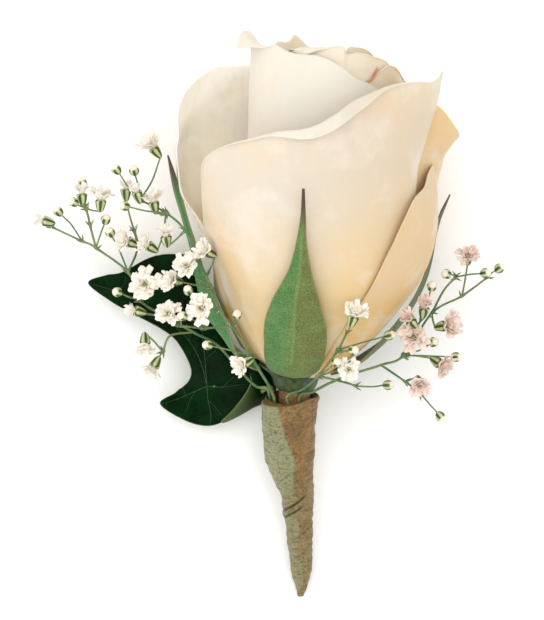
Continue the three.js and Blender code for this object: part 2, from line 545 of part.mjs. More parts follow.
const boutonniere = new THREE.Group();
boutonniere.name = 'boutonniere';
boutonniere.add(
  piece('rose_bloom', bloom(), 0xf3e3cb, 0.6),
  piece('rose_calyx_stem', calyx(), 0x4f7440, 0.7),
  piece('tape_wrap', wrap(), 0x9c8458, 0.85),
  piece('ivy_leaf', leaf(), 0x0a2c12, 0.35),
  ...Object.entries(SPRAYS).map(([name, plan]) => piece(name, spray(plan), 0xe6dccb, 0.7)),
);

export default boutonniere;
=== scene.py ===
"""A rose boutonniere lying on its back: a cream rose with its calyx, an ivy leaf and sprays of gypsophila,
gathered in a tapering wrap of floral tape. Shapes are worked out in millimetres and made in metres."""
import math

import bmesh
import bpy
import numpy as np
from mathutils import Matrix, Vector
from mathutils.geometry import delaunay_2d_cdt


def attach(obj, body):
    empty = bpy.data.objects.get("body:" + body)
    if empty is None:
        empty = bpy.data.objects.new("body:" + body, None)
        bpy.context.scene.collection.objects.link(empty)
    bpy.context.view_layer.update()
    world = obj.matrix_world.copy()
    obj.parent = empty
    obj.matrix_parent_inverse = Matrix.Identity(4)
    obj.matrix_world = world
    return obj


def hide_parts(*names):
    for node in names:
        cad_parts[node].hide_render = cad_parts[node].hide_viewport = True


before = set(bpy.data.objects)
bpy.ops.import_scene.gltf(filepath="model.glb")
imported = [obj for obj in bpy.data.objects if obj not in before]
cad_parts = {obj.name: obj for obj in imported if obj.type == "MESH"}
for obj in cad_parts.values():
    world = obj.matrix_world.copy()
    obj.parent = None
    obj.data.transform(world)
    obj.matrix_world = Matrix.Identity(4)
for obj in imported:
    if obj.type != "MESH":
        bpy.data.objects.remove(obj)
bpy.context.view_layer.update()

MM = 0.001

# ---------------------------------------------------------------- layout
SHEET = 0.18                    # millimetres in one square of the layout sheet
SHEET_ORIGIN = (319.0, 212.0)
SHEET_MIDDLE = (272.0, 310.0)
EYE = 700.0
SHEET_LAYER = 22.0


def at(x, y, z):
    """A point of the layout sheet at height z, in millimetres."""
    k = (EYE - (z - SHEET_LAYER)) / EYE * SHEET
    return np.array([
        (x - SHEET_MIDDLE[0]) * k + (SHEET_MIDDLE[0] - SHEET_ORIGIN[0]) * SHEET,
        (SHEET_MIDDLE[1] - y) * k + (SHEET_ORIGIN[1] - SHEET_MIDDLE[1]) * SHEET,
        z])


def between(a, b, c, d, f):
    """The smooth line through four values, at the share f of the way from the second to the third."""
    return b + 0.5 * f * (c - a + f * (2 * a - 5 * b + 4 * c - d + f * (3 * (b - c) + d - a)))


def smooth(values, t):
    """The value at t, 0 to 1, of a smooth line through evenly spaced values."""
    v = np.asarray(values, float)
    n = len(v) - 1
    x = np.clip(t, 0, 1) * n
    i = np.minimum(np.floor(x).astype(int), n - 1)
    f = x - i
    p = np.concatenate([[2 * v[0] - v[1]], v, [2 * v[-1] - v[-2]]])
    return between(p[i], p[i + 1], p[i + 2], p[i + 3], f)


def smooth_line(points, steps):
    """Evenly spaced steps along the smooth line through the points."""
    p = np.asarray(points, float)
    t = np.linspace(0, 1, steps)
    return np.stack([smooth(p[:, k], t) for k in range(p.shape[1])], -1)


def waves(seed, count, low, high):
    """A fixed smooth random field of two numbers, of unit height."""
    rng = np.random.RandomState(seed)
    turn = rng.uniform(0, 2 * math.pi, count)
    size = rng.uniform(low, high, count)
    phase = rng.uniform(0, 2 * math.pi, count)
    gain = 1 / math.sqrt(count / 2)
    return lambda a, b: gain * sum(
        np.sin((a * math.cos(w) + b * math.sin(w)) * s + ph) for w, s, ph in zip(turn, size, phase))


def step(lo, hi, x):
    """Rises smoothly from 0 at lo to 1 at hi."""
    t = np.clip((x - lo) / (hi - lo), 0, 1)
    return t * t * (3 - 2 * t)


def unit(v):
    v = np.asarray(v, float)
    return v / np.linalg.norm(v)


def to_lines(points, lines):
    """The least distance from each point to any of the lines."""
    best = np.full(len(points), 1e9)
    for line in lines:
        for a, b in zip(line[:-1], line[1:]):
            d = b - a
            t = np.clip(((points - a) @ d) / (d @ d), 0, 1)
            best = np.minimum(best, np.linalg.norm(points - a - t[:, None] * d, axis=1))
    return best


# ---------------------------------------------------------------- meshes
def placed(name, data):
    """A new object of the scene."""
    ob = bpy.data.objects.new(name, data)
    bpy.context.scene.collection.objects.link(ob)
    return ob


def mesh_object(name, points, faces=(), attributes=None, uv=None, edges=()):
    """A smooth mesh. Each attribute is stored as whole numbers, numbers or directions, as its values are."""
    me = bpy.data.meshes.new(name)
    me.from_pydata((np.asarray(points) * MM).tolist(), edges, [tuple(int(i) for i in f) for f in faces])
    me.update()
    for key, values in (attributes or {}).items():
        values = np.asarray(values)
        kind = "FLOAT_VECTOR" if values.ndim == 2 else "INT" if values.dtype.kind == "i" else "FLOAT"
        me.attributes.new(key, kind, "POINT").data.foreach_set(
            "vector" if values.ndim == 2 else "value", values.astype("i" if kind == "INT" else "f").ravel())
    if uv is not None:
        layer = me.uv_layers.new(name="surface")
        corner = np.empty(len(me.loops), "i")
        me.loops.foreach_get("vertex_index", corner)
        layer.data.foreach_set("uv", (np.asarray(uv, "f") * MM)[corner].ravel())
    me.polygons.foreach_set("use_smooth", [True] * len(me.polygons))
    return placed(name, me)


def outward(points, faces):
    """The faces, turned round if the closed mesh is inside out."""
    p = np.asarray(points)
    f = np.asarray(faces)
    a, b, c, d = (p[f[:, k]] for k in range(4))
    volume = np.einsum("ij,ij->i", a, np.cross(b, c)).sum() + np.einsum("ij,ij->i", a, np.cross(c, d)).sum()
    return f if volume > 0 else f[:, ::-1]


def blade(name, middle, thickness, attributes, uv):
    """A closed sheet about a grid of middle points. Its thickness and attributes are grids too, and a pair of
    grids gives an attribute for each face of the sheet."""
    nu, nv = middle.shape[:2]
    normal = np.cross(np.gradient(middle, axis=0), np.gradient(middle, axis=1))
    normal /= np.maximum(np.linalg.norm(normal, axis=-1, keepdims=True), 1e-9)
    half = thickness[..., None] / 2
    points = np.concatenate([(middle + side * normal * half).reshape(-1, 3) for side in (1, -1)])
    i, j = np.meshgrid(np.arange(nu - 1), np.arange(nv - 1), indexing="ij")
    a = (i * nv + j).ravel()
    top = np.stack([a, a + nv, a + nv + 1, a + 1], -1)
    size = nu * nv
    bottom = top[:, ::-1] + size
    ring = np.concatenate([
        np.arange(nv), np.arange(1, nu) * nv + nv - 1,
        (nu - 1) * nv + np.arange(nv - 2, -1, -1), np.arange(nu - 2, 0, -1) * nv])
    after = np.roll(ring, -1)
    rim = np.stack([ring, after, after + size, ring + size], -1)
    faces = outward(points, np.concatenate([top, bottom, rim]))
    both = {k: np.concatenate([x.ravel() for x in (v if isinstance(v, tuple) else (v, v))])
            for k, v in attributes.items()}
    return mesh_object(name, points, faces, both, np.concatenate([uv.reshape(-1, 2)] * 2))


def sleeve(name, rings, attributes=None, uv=None):
    """A closed skin over rings of points, from its first ring round to its last."""
    n, m = rings.shape[:2]
    points = list(rings.reshape(-1, 3)) + [rings[0].mean(0), rings[-1].mean(0)]
    i, j = np.meshgrid(np.arange(n - 1), np.arange(m), indexing="ij")
    a = (i * m + j).ravel()
    b = (i * m + (j + 1) % m).ravel()
    quads = np.stack([a, b, b + m, a + m], -1)
    faces = [list(f) for f in outward(points, quads)]
    flipped = bool(len(faces)) and faces[0][1] != quads[0][1]
    for k in range(m):
        first = [k, (k + 1) % m, n * m][::1 if flipped else -1]
        last = [(n - 1) * m + k, (n - 1) * m + (k + 1) % m, n * m + 1][::-1 if flipped else 1]
        faces += [first, last]
    both = {key: np.concatenate([values.ravel(), [values[0].mean(), values[-1].mean()]])
            for key, values in (attributes or {}).items()}
    return mesh_object(name, points, faces, both, uv)


def rings_along(line, radii, sides):
    """Rings of the given radii square to a line of points."""
    line = np.asarray(line, float)
    along = np.gradient(line, axis=0)
    along /= np.linalg.norm(along, axis=1, keepdims=True)
    side = None
    out = []
    for p, d, r in zip(line, along, radii):
        if side is None:
            side = np.array([0, 0, 1.0] if abs(d[2]) < 0.9 else [1.0, 0, 0])
        side = unit(side - d * side.dot(d))
        up = np.cross(d, side)
        a = np.linspace(0, 2 * math.pi, sides, endpoint=False)[:, None]
        out.append(p + (np.cos(a) * side + np.sin(a) * up) * r)
    return np.array(out)


def joined(name, objects):
    """One object from several, with their attributes and materials."""
    keep = objects[0]
    if len(objects) > 1:
        with bpy.context.temp_override(active_object=keep, object=keep, selected_objects=objects,
                                       selected_editable_objects=objects):
            bpy.ops.object.join()
    keep.name = keep.data.name = name
    return keep


# ---------------------------------------------------------------- materials
class Finish:
    """A node material, with short ways to add the nodes that the finishes share."""

    def __init__(self, name, **shader):
        self.material = bpy.data.materials.new(name)
        self.material.use_nodes = True
        self.nodes = self.material.node_tree.nodes
        self.links = self.material.node_tree.links
        self.shader = self.nodes["Principled BSDF"]
        for key, value in shader.items():
            self.shader.inputs[key.replace("_", " ")].default_value = value

    def node(self, kind, inputs=(), **settings):
        n = self.nodes.new(kind)
        for key, value in settings.items():
            setattr(n, key, value)
        for key, value in dict(inputs).items():
            socket = n.inputs[key]
            if isinstance(value, bpy.types.NodeSocket):
                self.links.new(value, socket)
            else:
                socket.default_value = value
        return n

    def place(self):
        return self.node("ShaderNodeTexCoord").outputs["Object"]

    def surface(self):
        return self.node("ShaderNodeUVMap", uv_map="surface").outputs["UV"]

    def value(self, name):
        return self.node("ShaderNodeAttribute", attribute_name=name).outputs["Fac"]

    def noise(self, vector, scale, detail=3, rough=0.5):
        return self.node("ShaderNodeTexNoise", {"Vector": vector, "Scale": scale, "Detail": detail,
                                                "Roughness": rough}).outputs["Fac"]

    def grain(self, scale, detail=3, rough=0.5):
        return self.noise(self.place(), scale, detail, rough)

    def streaks(self, vector, stretch, scale, detail=3, rough=0.5):
        place = self.node("ShaderNodeMapping", {"Vector": vector, "Scale": stretch}).outputs["Vector"]
        return self.noise(place, scale, detail, rough)

    def ramp(self, value, lo, hi, to_lo=0, to_hi=1):
        bounds = {"From Min": lo, "From Max": hi, "To Min": to_lo, "To Max": to_hi}
        return self.node("ShaderNodeMapRange", {"Value": value, **bounds},
                         interpolation_type="SMOOTHSTEP").outputs["Result"]

    def times(self, a, b):
        return self.node("ShaderNodeMath", {0: a, 1: b}, operation="MULTIPLY").outputs[0]

    def mix(self, factor, a, b):
        return self.node("ShaderNodeMix", {0: factor, 6: a, 7: b}, data_type="RGBA").outputs[2]

    def coats(self, colour, *layers):
        """Tints laid over a colour in turn, each by its factor. Bounds after the factor ramp it first."""
        for factor, *bounds, tint in layers:
            colour = self.mix(self.ramp(factor, *bounds) if bounds else factor, colour, tone(*tint))
        return colour

    def bump(self, height, distance, strength, under=None):
        n = self.node("ShaderNodeBump", {"Height": height, "Distance": distance * MM, "Strength": strength})
        if under is not None:
            self.links.new(under, n.inputs["Normal"])
        return n.outputs["Normal"]

    def finish(self, colour, roughness=None, normal=None):
        self.links.new(colour, self.shader.inputs["Base Color"])
        if roughness is not None:
            self.links.new(roughness, self.shader.inputs["Roughness"])
        if normal is not None:
            self.links.new(normal, self.shader.inputs["Normal"])
        return self.material


def tone(r, g, b):
    """A colour given as on a screen, 0 to 255, in the linear values that nodes take."""
    def linear(c):
        c /= 255
        return c / 12.92 if c <= 0.04045 else ((c + 0.055) / 1.055) ** 2.4
    return (linear(r), linear(g), linear(b), 1.0)


def petal_finish():
    f = Finish("cream rose petal", Roughness=0.52, Subsurface_Weight=0.4, Subsurface_Scale=0.0012,
               Subsurface_Radius=(1.0, 0.7, 0.44), Sheen_Weight=0.1, Sheen_Roughness=0.5,
               Specular_IOR_Level=0.3)
    veins = f.streaks(f.surface(), (1500, 90, 1), 1, 4, 0.6)
    fine = f.grain(2600, 2)
    colour = f.coats(
        tone(222, 196, 146),
        (f.value("reach"), 0.2, 0.8, (209, 201, 187)),
        # painted light: petals that lie in shade are lifted towards near white
        (f.value("pale"), (254, 248, 236)),
        # a peach tint: the rose's own peach towards the foot, and painted shade on the right of the bloom and
        # deep in the cup
        (f.times(f.value("warm"), f.ramp(f.grain(48), 0.3, 0.7, 0.75, 1)), (216, 171, 88)),
        (f.grain(110, 4, 0.6), 0.48, 0.68, 0, 0.4, (228, 219, 208)),
        (f.streaks(f.place(), (1, 0.6, 1), 150, 5, 0.6), 0.5, 0.75, 0, 0.22, (230, 190, 136)),
        (veins, 0.5, 0.8, 0, 0.14, (224, 196, 160)),
        # painted shade: a brown line in the crevice where the fold by the heart tucks under
        (f.value("stain"), (186, 112, 48)))
    normal = f.bump(fine, 0.012, 0.5, f.bump(veins, 0.05, 0.45))
    return f.finish(colour, f.ramp(fine, 0.3, 0.7, 0.44, 0.58), normal)


def sepal_finish():
    f = Finish("downy sepal", Roughness=0.62, Sheen_Weight=0.35, Sheen_Roughness=0.35,
               Sheen_Tint=tone(205, 225, 190), Subsurface_Weight=0.08, Subsurface_Scale=0.001)
    reach = f.value("reach")
    down = f.grain(3000, 3, 0.7)
    colour = f.coats(
        tone(52, 116, 46),
        (f.value("across"), -0.45, 0.3, (92, 100, 32)),
        (f.grain(420, 4, 0.65), 0.35, 0.7, 0, 0.5, (112, 136, 70)),
        (reach, 0, 0.14, 0.6, 0, (104, 112, 48)),
        (f.times(f.value("dark"), 0.85), (14, 126, 56)),
        # painted shade over the right sepal
        (f.value("dim"), (44, 58, 26)),
        (down, 0.48, 0.62, 0, 0.6, (30, 60, 22)),
        (f.grain(5200, 2, 0.6), 0.56, 0.68, 0, 0.42, (172, 170, 104)),
        (f.value("margin"), 0.5, 1, 0, 0.7, (150, 128, 84)),
        (f.value("rib"), 0.5, 1, 0, 0.22, (140, 168, 96)),
        (reach, 0.78, 0.95, 0, 0.92, (62, 36, 26)))
    fibres = f.streaks(f.surface(), (2600, 160, 1), 1)
    return f.finish(colour, None, f.bump(fibres, 0.06, 0.5, f.bump(down, 0.09, 0.9)))


def neck_finish():
    f = Finish("stem and receptacle", Roughness=0.5, Subsurface_Weight=0.05, Subsurface_Scale=0.001)
    streak = f.streaks(f.place(), (900, 220, 900), 1, 4, 0.6)
    colour = f.coats(
        tone(30, 48, 22),
        (streak, 0.3, 0.7, (76, 90, 42)),
        (f.grain(1800, 2), 0.55, 0.8, 0, 0.4, (70, 60, 36)))
    return f.finish(colour, None, f.bump(streak, 0.12, 0.6))


def tape_finish():
    f = Finish("waxed floral tape", Roughness=0.55, Sheen_Weight=0.1, Sheen_Roughness=0.4,
               Specular_IOR_Level=0.4)
    low = f.value("low")
    mottle = f.grain(330, 5, 0.7)
    fine = f.grain(2100, 3, 0.6)
    crepe = f.streaks(f.surface(), (420, 2600, 1), 1, 5, 0.7)
    under = f.coats(
        tone(112, 78, 34),
        (mottle, 0.35, 0.65, (146, 110, 58)),
        (f.grain(90, 2), 0.4, 0.65, 0, 0.4, (116, 96, 50)),
        (f.times(low, f.ramp(mottle, 0.3, 0.6, 0.2, 0.7)), (128, 122, 78)))
    over = f.coats(tone(134, 142, 104), (f.times(low, f.ramp(mottle, 0.4, 0.62, 0.35, 1)), (126, 108, 66)))
    colour = f.coats(
        f.mix(f.times(f.value("lap"), 0.85), under, over),
        (crepe, 0.45, 0.7, 0, 0.6, (78, 64, 36)),
        (fine, 0.54, 0.72, 0, 0.4, (168, 154, 112)),
        (fine, 0.48, 0.32, 0, 0.7, (62, 54, 26)),
        # painted shade in the creases and inside the mouth
        (f.times(f.value("crease"), 0.85), (36, 26, 12)))
    normal = f.bump(mottle, 0.2, 0.5, f.bump(crepe, 0.16, 0.8))
    return f.finish(colour, f.ramp(crepe, 0.3, 0.7, 0.45, 0.7), normal)


def ivy_finish():
    f = Finish("dark ivy leaf", Roughness=0.34, Specular_IOR_Level=0.04)
    mottle = f.grain(240, 4, 0.6)
    net = f.node("ShaderNodeTexVoronoi", {"Vector": f.place(), "Scale": 700},
                 feature="DISTANCE_TO_EDGE").outputs[0]
    colour = f.coats(
        # near black: the ivy's own dark green, darkened further as painted shade
        tone(0, 17, 2),
        (mottle, 0.3, 0.7, (3, 38, 8)),
        (net, 0, 0.09, 0.22, 0, (10, 52, 14)),
        # a pale line on the blade's rim, and a painted highlight along the fold of the rolled edge
        (f.value("margin"), 0.6, 1, 0, 0.7, (130, 152, 112)),
        (f.value("under"), (92, 108, 62)))
    normal = f.bump(f.grain(2200, 2), 0.02, 0.4, f.bump(net, 0.05, 0.4))
    return f.finish(colour, f.ramp(mottle, 0.3, 0.7, 0.24, 0.4), normal)


def vein_finish():
    f = Finish("ivy vein", Roughness=0.45)
    fine = f.grain(900)
    return f.finish(f.coats(tone(16, 48, 14), (fine, 0.3, 0.7, (46, 76, 30))), None, f.bump(fine, 0.02, 0.4))


def floret_finish(name, middle, petal, shade):
    f = Finish(name, Roughness=0.6, Subsurface_Weight=0.15, Subsurface_Scale=0.0008,
               Subsurface_Radius=(1.0, 0.75, 0.6), Sheen_Weight=0.1)
    colour = f.coats(
        tone(*middle),
        (f.value("reach"), 0.05, 0.5, petal),
        (f.grain(700), 0.42, 0.7, 0, 0.55, shade))
    return f.finish(colour, None, f.bump(f.grain(2500, 2), 0.05, 0.5))


def stalk_finish():
    f = Finish("gypsophila stalk", Roughness=0.5)
    streak = f.grain(1700, 2)
    colour = f.coats(
        tone(62, 104, 62),
        (f.grain(300), 0.3, 0.7, (122, 130, 76)),
        (streak, 0.5, 0.8, 0, 0.5, (48, 70, 40)))
    return f.finish(colour, None, f.bump(streak, 0.04, 0.5))


def calyx_finish():
    f = Finish("gypsophila calyx and bud", Roughness=0.55, Subsurface_Weight=0.1, Subsurface_Scale=0.0008)
    stripe = f.value("stripe")
    colour = f.coats(
        tone(190, 196, 142),
        (stripe, 0.3, 0.7, (48, 78, 34)),
        (f.value("reach"), 0.62, 0.95, (240, 226, 206)),
        (f.grain(900, 2), 0.5, 0.8, 0, 0.3, (120, 100, 60)))
    return f.finish(colour, None, f.bump(stripe, 0.05, 0.6))


# ---------------------------------------------------------------- the rose's own frame
# z runs along its axis from the base; azimuth 0 faces the front and grows to the right.
BLOOM_BASE = np.array([-4.14, -30.24, 13.2])
BLOOM_TILT = math.radians(13)
BLOOM_LEAN = math.radians(2.3)
PETAL_FOOT = 1.6
ROLL = math.radians(164)        # a rim turns out this far,
ROLL_RADIUS = 0.5               # about this radius, and the rest of its lip hangs straight
WIDE_ROLL_RADIUS = 0.95         # at the loose corner of the bud


def cup_radius(z):
    return 23.8 * (1 - np.exp(-(z + 2) / 15)) - 1.3 * np.exp(-((z - 12) / 9) ** 2)


def cup_bow(z):
    return 3.5 * np.sin(math.pi * (np.clip(z, 0, 42) / 42) ** 0.9)


def left_fullness(azimuth, z):
    """The bloom stands fuller at the lower left, where the left petal comes out from under the front one."""
    low = 2.8 * np.exp(-((azimuth + 98) / 15) ** 2) * step(PETAL_FOOT, 6, z) * (1 - step(14, 23, z))
    return low + 1.5 * np.exp(-((azimuth + 92) / 18) ** 2 - ((z - 34.5) / 5.5) ** 2)


def shrink(z):
    return np.minimum(1, np.maximum(0, z) / 12 + 0.15)


def in_bloom(x, y, z):
    """Points of the rose's own frame, in the frame of the whole piece."""
    s, c = math.sin(BLOOM_TILT), math.cos(BLOOM_TILT)
    across, along, up = x, y * s + z * c, -y * c + z * s
    s, c = math.sin(BLOOM_LEAN), math.cos(BLOOM_LEAN)
    return np.stack(np.broadcast_arrays(across * c + along * s, along * c - across * s, up), -1) + BLOOM_BASE


def round_bloom(azimuth, radius, z, axis_x):
    a = np.radians(azimuth)
    return in_bloom(axis_x + radius * np.sin(a), -radius * np.cos(a), z)


def rested(points, clear):
    """The points with what would lie below the table pressed flat just above it."""
    low = points[..., 2] - clear
    points[..., 2] = clear + 0.5 * (low + np.sqrt(low * low + 0.25))
    return points


# Outer petals. Each station is [azimuth, top, inset from the cup, lean in at the top, lip, swing], and a
# swing of 0 is left out.
OUTER_PETALS = {
    "outer_petal_right": [
        (20, 6, .1, .3, .3), (24, 14, .15, .2, .3), (30, 21, .2, .1, .4), (37, 28, .25, 0, .4),
        (47, 34.5, .15, -.1, .3), (62, 38.6, -.1, -.2, .3), (80, 41.4, -.3, -.2, .3),
        (102, 40.7, -.4, -.3, .4), (128, 38, -1, 0, .4), (152, 33, -1, 0, .3), (172, 26, -1.2, 0, .3)],
    "outer_petal_back": [
        (122, 30, .8, 0, .4), (145, 40, .6, 0, 1), (168, 44, .3, 0, 2), (190, 45, 0, -.4, 2),
        (212, 43, -.2, -.4, 1.5), (230, 38, -.5, 0, .8), (246, 28, -.8, 0, .4)],
    "front_petal": [
        (-86, 20, -.5, .4, .3), (-80, 26.5, -.5, .4, .3), (-72, 30.4, -.4, .4, .4),
        (-64, 34.6, -.3, .3, .3), (-59, 39.2, -.2, .2, .4), (-50, 43.6, .3, 0, .5),
        (-37, 46.6, .7, -.2, .7), (-18, 48.9, .9, -.4, 1.4), (-3, 50.4, 1, -.8, 2.6),
        (10, 53.2, 1, -1, 3.4), (21, 55.6, 1, -.8, 3.2), (33, 57.4, 1, -.6, 1.4, 2),
        (44, 57.5, 1, -.8, .4, 10), (50, 57.2, 1, -1.4, .2, 20), (52, 58.4, 1, -2.2, .15, 31)],
    "left_petal": [
        (-178, 53, 2.2, 1.5, .4), (-160, 54.6, 1.9, 1.5, .5), (-140, 55, 1.4, 1.4, .5),
        (-122, 54.2, .2, 1.4, .4), (-107, 51.4, -.6, .9, .3), (-98, 49, -.7, .3, .2),
        (-93, 45.6, -.7, 0, .2), (-90, 40.6, -.6, 0, .2), (-88, 35, -.5, 0, .3), (-84, 28, .1, 0, .3),
        (-76, 22, .8, 0, .3)],
    "right_petal": [
        (50, 53, 2, .5, .2), (62, 54, 1.9, -.4, .2), (74, 53, 1.8, -1.8, .3), (84, 49.6, 1.8, -4.2, .4),
        (94, 46.2, 1.9, -6.5, .4), (104, 44.4, 2, -6.5, .5), (118, 47, 2, -4.4, .5), (136, 51, 2, -2, .4),
        (154, 53, 2.2, -.5, .3), (172, 53, 2.8, 0, .3)],
}

# Petals of the bud: radius, sideways start and end of the axis, foot, and stations [azimuth, top, out, lip].
BUD_PETALS = {
    "bud_front": (14.9, 2.9, 4.5, 16, [
        (-112, 57, .2, .2), (-107, 60.2, 1, .8), (-100, 62, 1.5, 2.6), (-93, 63.3, 1.7, 4.6),
        (-84, 63.8, 1.6, 5.2), (-75, 63.5, 1.2, 4.4), (-66, 62.8, .8, 2.8), (-57, 62.6, .4, 1.2),
        (-48, 62.7, 0, .3), (-38, 62.1, 0, .2), (-28, 62.1, 0, .2), (-17, 62.2, 0, .2), (-7, 61.7, 0, .2),
        (0, 61, 0, .2), (7, 60, 0, .2), (14, 58.4, 0, .2), (24, 57, 0, .2), (36, 55.8, 0, .2),
        (52, 54.4, 0, .2), (75, 53, .2, .2), (100, 52, .5, .2)]),
    "bud_right": (14.7, 2.5, 4, 16, [
        (17, 51, -.2, .2), (21, 54.6, 0, .2), (27, 57.2, 0, .3), (36, 59.2, 0, .4), (46, 60.2, 0, .4),
        (60, 58.6, 0, .4), (77, 55.8, 0, .4), (97, 54.4, 0, .4), (118, 54.6, 0, .5), (140, 56, 0, .5),
        (160, 57, 0, .5), (178, 56.6, 0, .4), (196, 55, -.6, .3)]),
    "heart_front": (13.8, 2.7, 4.2, 24, [
        (-46, 56, -.9, .2), (-39, 60, -.7, .3), (-33, 62, -.5, 1.2), (-25, 63.2, -.4, 2.4),
        (-16, 63.6, -.5, 1.8), (-7, 63.4, -.6, .5), (2, 63.1, -.6, .3), (7.5, 62.8, -.5, .2),
        (10.5, 61.4, -.5, .2), (14, 61.6, -.4, .2), (20, 62.3, -.4, .3), (28, 62.6, -.4, .4),
        (38, 62, -.4, .4), (48, 60.6, -.4, .3), (60, 58, -.4, .3), (74, 54, -.5, .2)]),
    "bud_back": (13.2, 2.5, 4, 16, [
        (152, 55, -.5, .2), (166, 57.2, -.3, .3), (180, 58.8, 0, .4), (190, 59.3, .1, .4),
        (198, 59.4, .1, .4), (204, 60, .1, .3), (209, 60.8, .2, .3), (213.5, 61.2, .3, .2),
        (218, 60.5, .1, .2), (223, 60.3, 0, .2), (228, 60.7, .2, .2), (233, 60.8, .2, .3),
        (239, 60.1, 0, .3), (246, 60, 0, .4), (262, 59.6, 0, .3), (282, 57, -.5, .2)]),
    "heart_right": (11.2, 3, 4.6, 34, [
        (2, 55, .2, .2), (10, 62.4, .3, .2), (20, 63, .3, .3), (32, 62.2, .2, .3), (52, 59.4, .2, .4),
        (84, 57.4, 0, .5), (112, 56.6, -.1, .5), (142, 57.2, -.2, .4), (166, 56, -.5, .3)]),
    "heart_back": (10.4, 3, 4.6, 34, [
        (130, 54.4, -.7, .3), (158, 57.4, -.3, .4), (184, 58.2, 0, .5), (212, 58.4, 0, .6),
        (240, 58.6, .1, .5), (262, 57, .1, .3)]),
    "heart_left": (9.8, 3, 4.6, 34, [
        (222, 55, -.8, .3), (250, 58.2, -.4, .4), (280, 60.4, 0, .6), (308, 61.2, .2, .9),
        (330, 60.8, .3, .7), (352, 59.4, .3, .5), (372, 56.6, .2, .3)]),
    "inner_right": (7.4, 3.2, 5, 40, [
        (-20, 56, -.3, .2), (5, 58.6, 0, .4), (35, 59.2, 0, .6), (62, 58.4, 0, .5), (95, 57.4, 0, .4),
        (125, 55.4, -.4, .2)]),
    "inner_back": (6.4, 3.2, 5, 40, [
        (90, 55.4, -.8, .2), (120, 57.4, -.2, .4), (160, 58.2, 0, .5), (195, 58.2, .1, .4),
        (225, 56.4, .1, .2)]),
    "inner_left": (5.6, 3.2, 5, 40, [
        (190, 55.4, -.8, .2), (225, 58.2, -.2, .4), (262, 59, 0, .5), (300, 58.6, .2, .4),
        (335, 56.4, .3, .2)]),
    "middle_front": (3.8, 3.4, 5.2, 46, [
        (-60, 55.6, -.4, .1), (-20, 57.8, 0, .3), (30, 58.2, .1, .4), (80, 57.6, .2, .2),
        (120, 55.6, .3, .1)]),
    "middle_back": (3, 3.4, 5.2, 46, [
        (100, 55.6, -.6, .1), (150, 57.8, 0, .3), (200, 58, .1, .3), (250, 57.4, .3, .2),
        (290, 55.6, .4, .1)]),
    "middle": (1.5, 3.4, 5.2, 50, [
        (0, 55.6, 0, .1), (90, 57, 0, .1), (180, 57.4, 0, .1), (270, 57, 0, .1), (345, 55.6, 0, .1)]),
}
PETAL_THICK = 0.5
OUTER_GIRTH = 21                # usual radius of the outer petals, which sets the scale of their waves
REST_CLEAR = {"outer_petal_back": 0.3, "outer_petal_right": 0.35, "right_petal": 0.75, "left_petal": 0.8}
# peach tint of each petal's inner and outer face: partly the rose's own peach, partly painted shade on the
# shaded right side and deep in the cup
INNER_PEACH_AND_SHADE = {"right_petal": 0.9, "outer_petal_right": 0.4, "outer_petal_back": 0.3, "left_petal": 0.0,
              "front_petal": 0.0, "bud_front": 0.1, "bud_right": 0.25, "bud_back": 0.15, "heart_front": 0.1}
OUTER_PEACH_AND_SHADE = {"right_petal": 0.55, "outer_petal_right": 0.42, "left_petal": 0.5, "outer_petal_back": 0.45,
               "bud_front": -0.1, "heart_front": 0.1, "bud_right": 0.15}
# how far the upper part of each petal is lifted towards near white, as painted light where it lies in shade
PAINTED_LIGHT = {"left_petal": 1.0, "bud_front": 0.25, "heart_front": 0.3, "bud_back": 0.4, "bud_right": 0.1}
CREVICE = [(24, 56.6), (31, 57.6), (37, 59.4)]      # azimuth and height of the fold by the heart, along which a brown line of painted shade runs


def with_rims(count, foot=False):
    """Steps from 0 to 1 that crowd up at the rims, so that they come out round."""
    near = [0.0012, 0.004, 0.009]
    start = [] if foot else near
    middle = np.linspace(0.0 if foot else 0.016, 0.984, count)
    return np.concatenate([[] if foot else [0.0], start, middle, [1 - x for x in reversed(near)], [1.0]])


def up_a_petal(count):
    """Steps from foot to rim, close together where the rim turns over."""
    rim = [0.9945, 0.997, 0.9987, 1.0]
    return np.concatenate([np.linspace(0, 0.87, count), np.linspace(0.87, 1, 44)[1:-3], rim])


def rounded(rim, least):
    """The share of its full thickness that a sheet has near its rim, so that the rim is half round."""
    return np.sqrt(1 - (1 - np.clip(rim, least, 1)) ** 2)


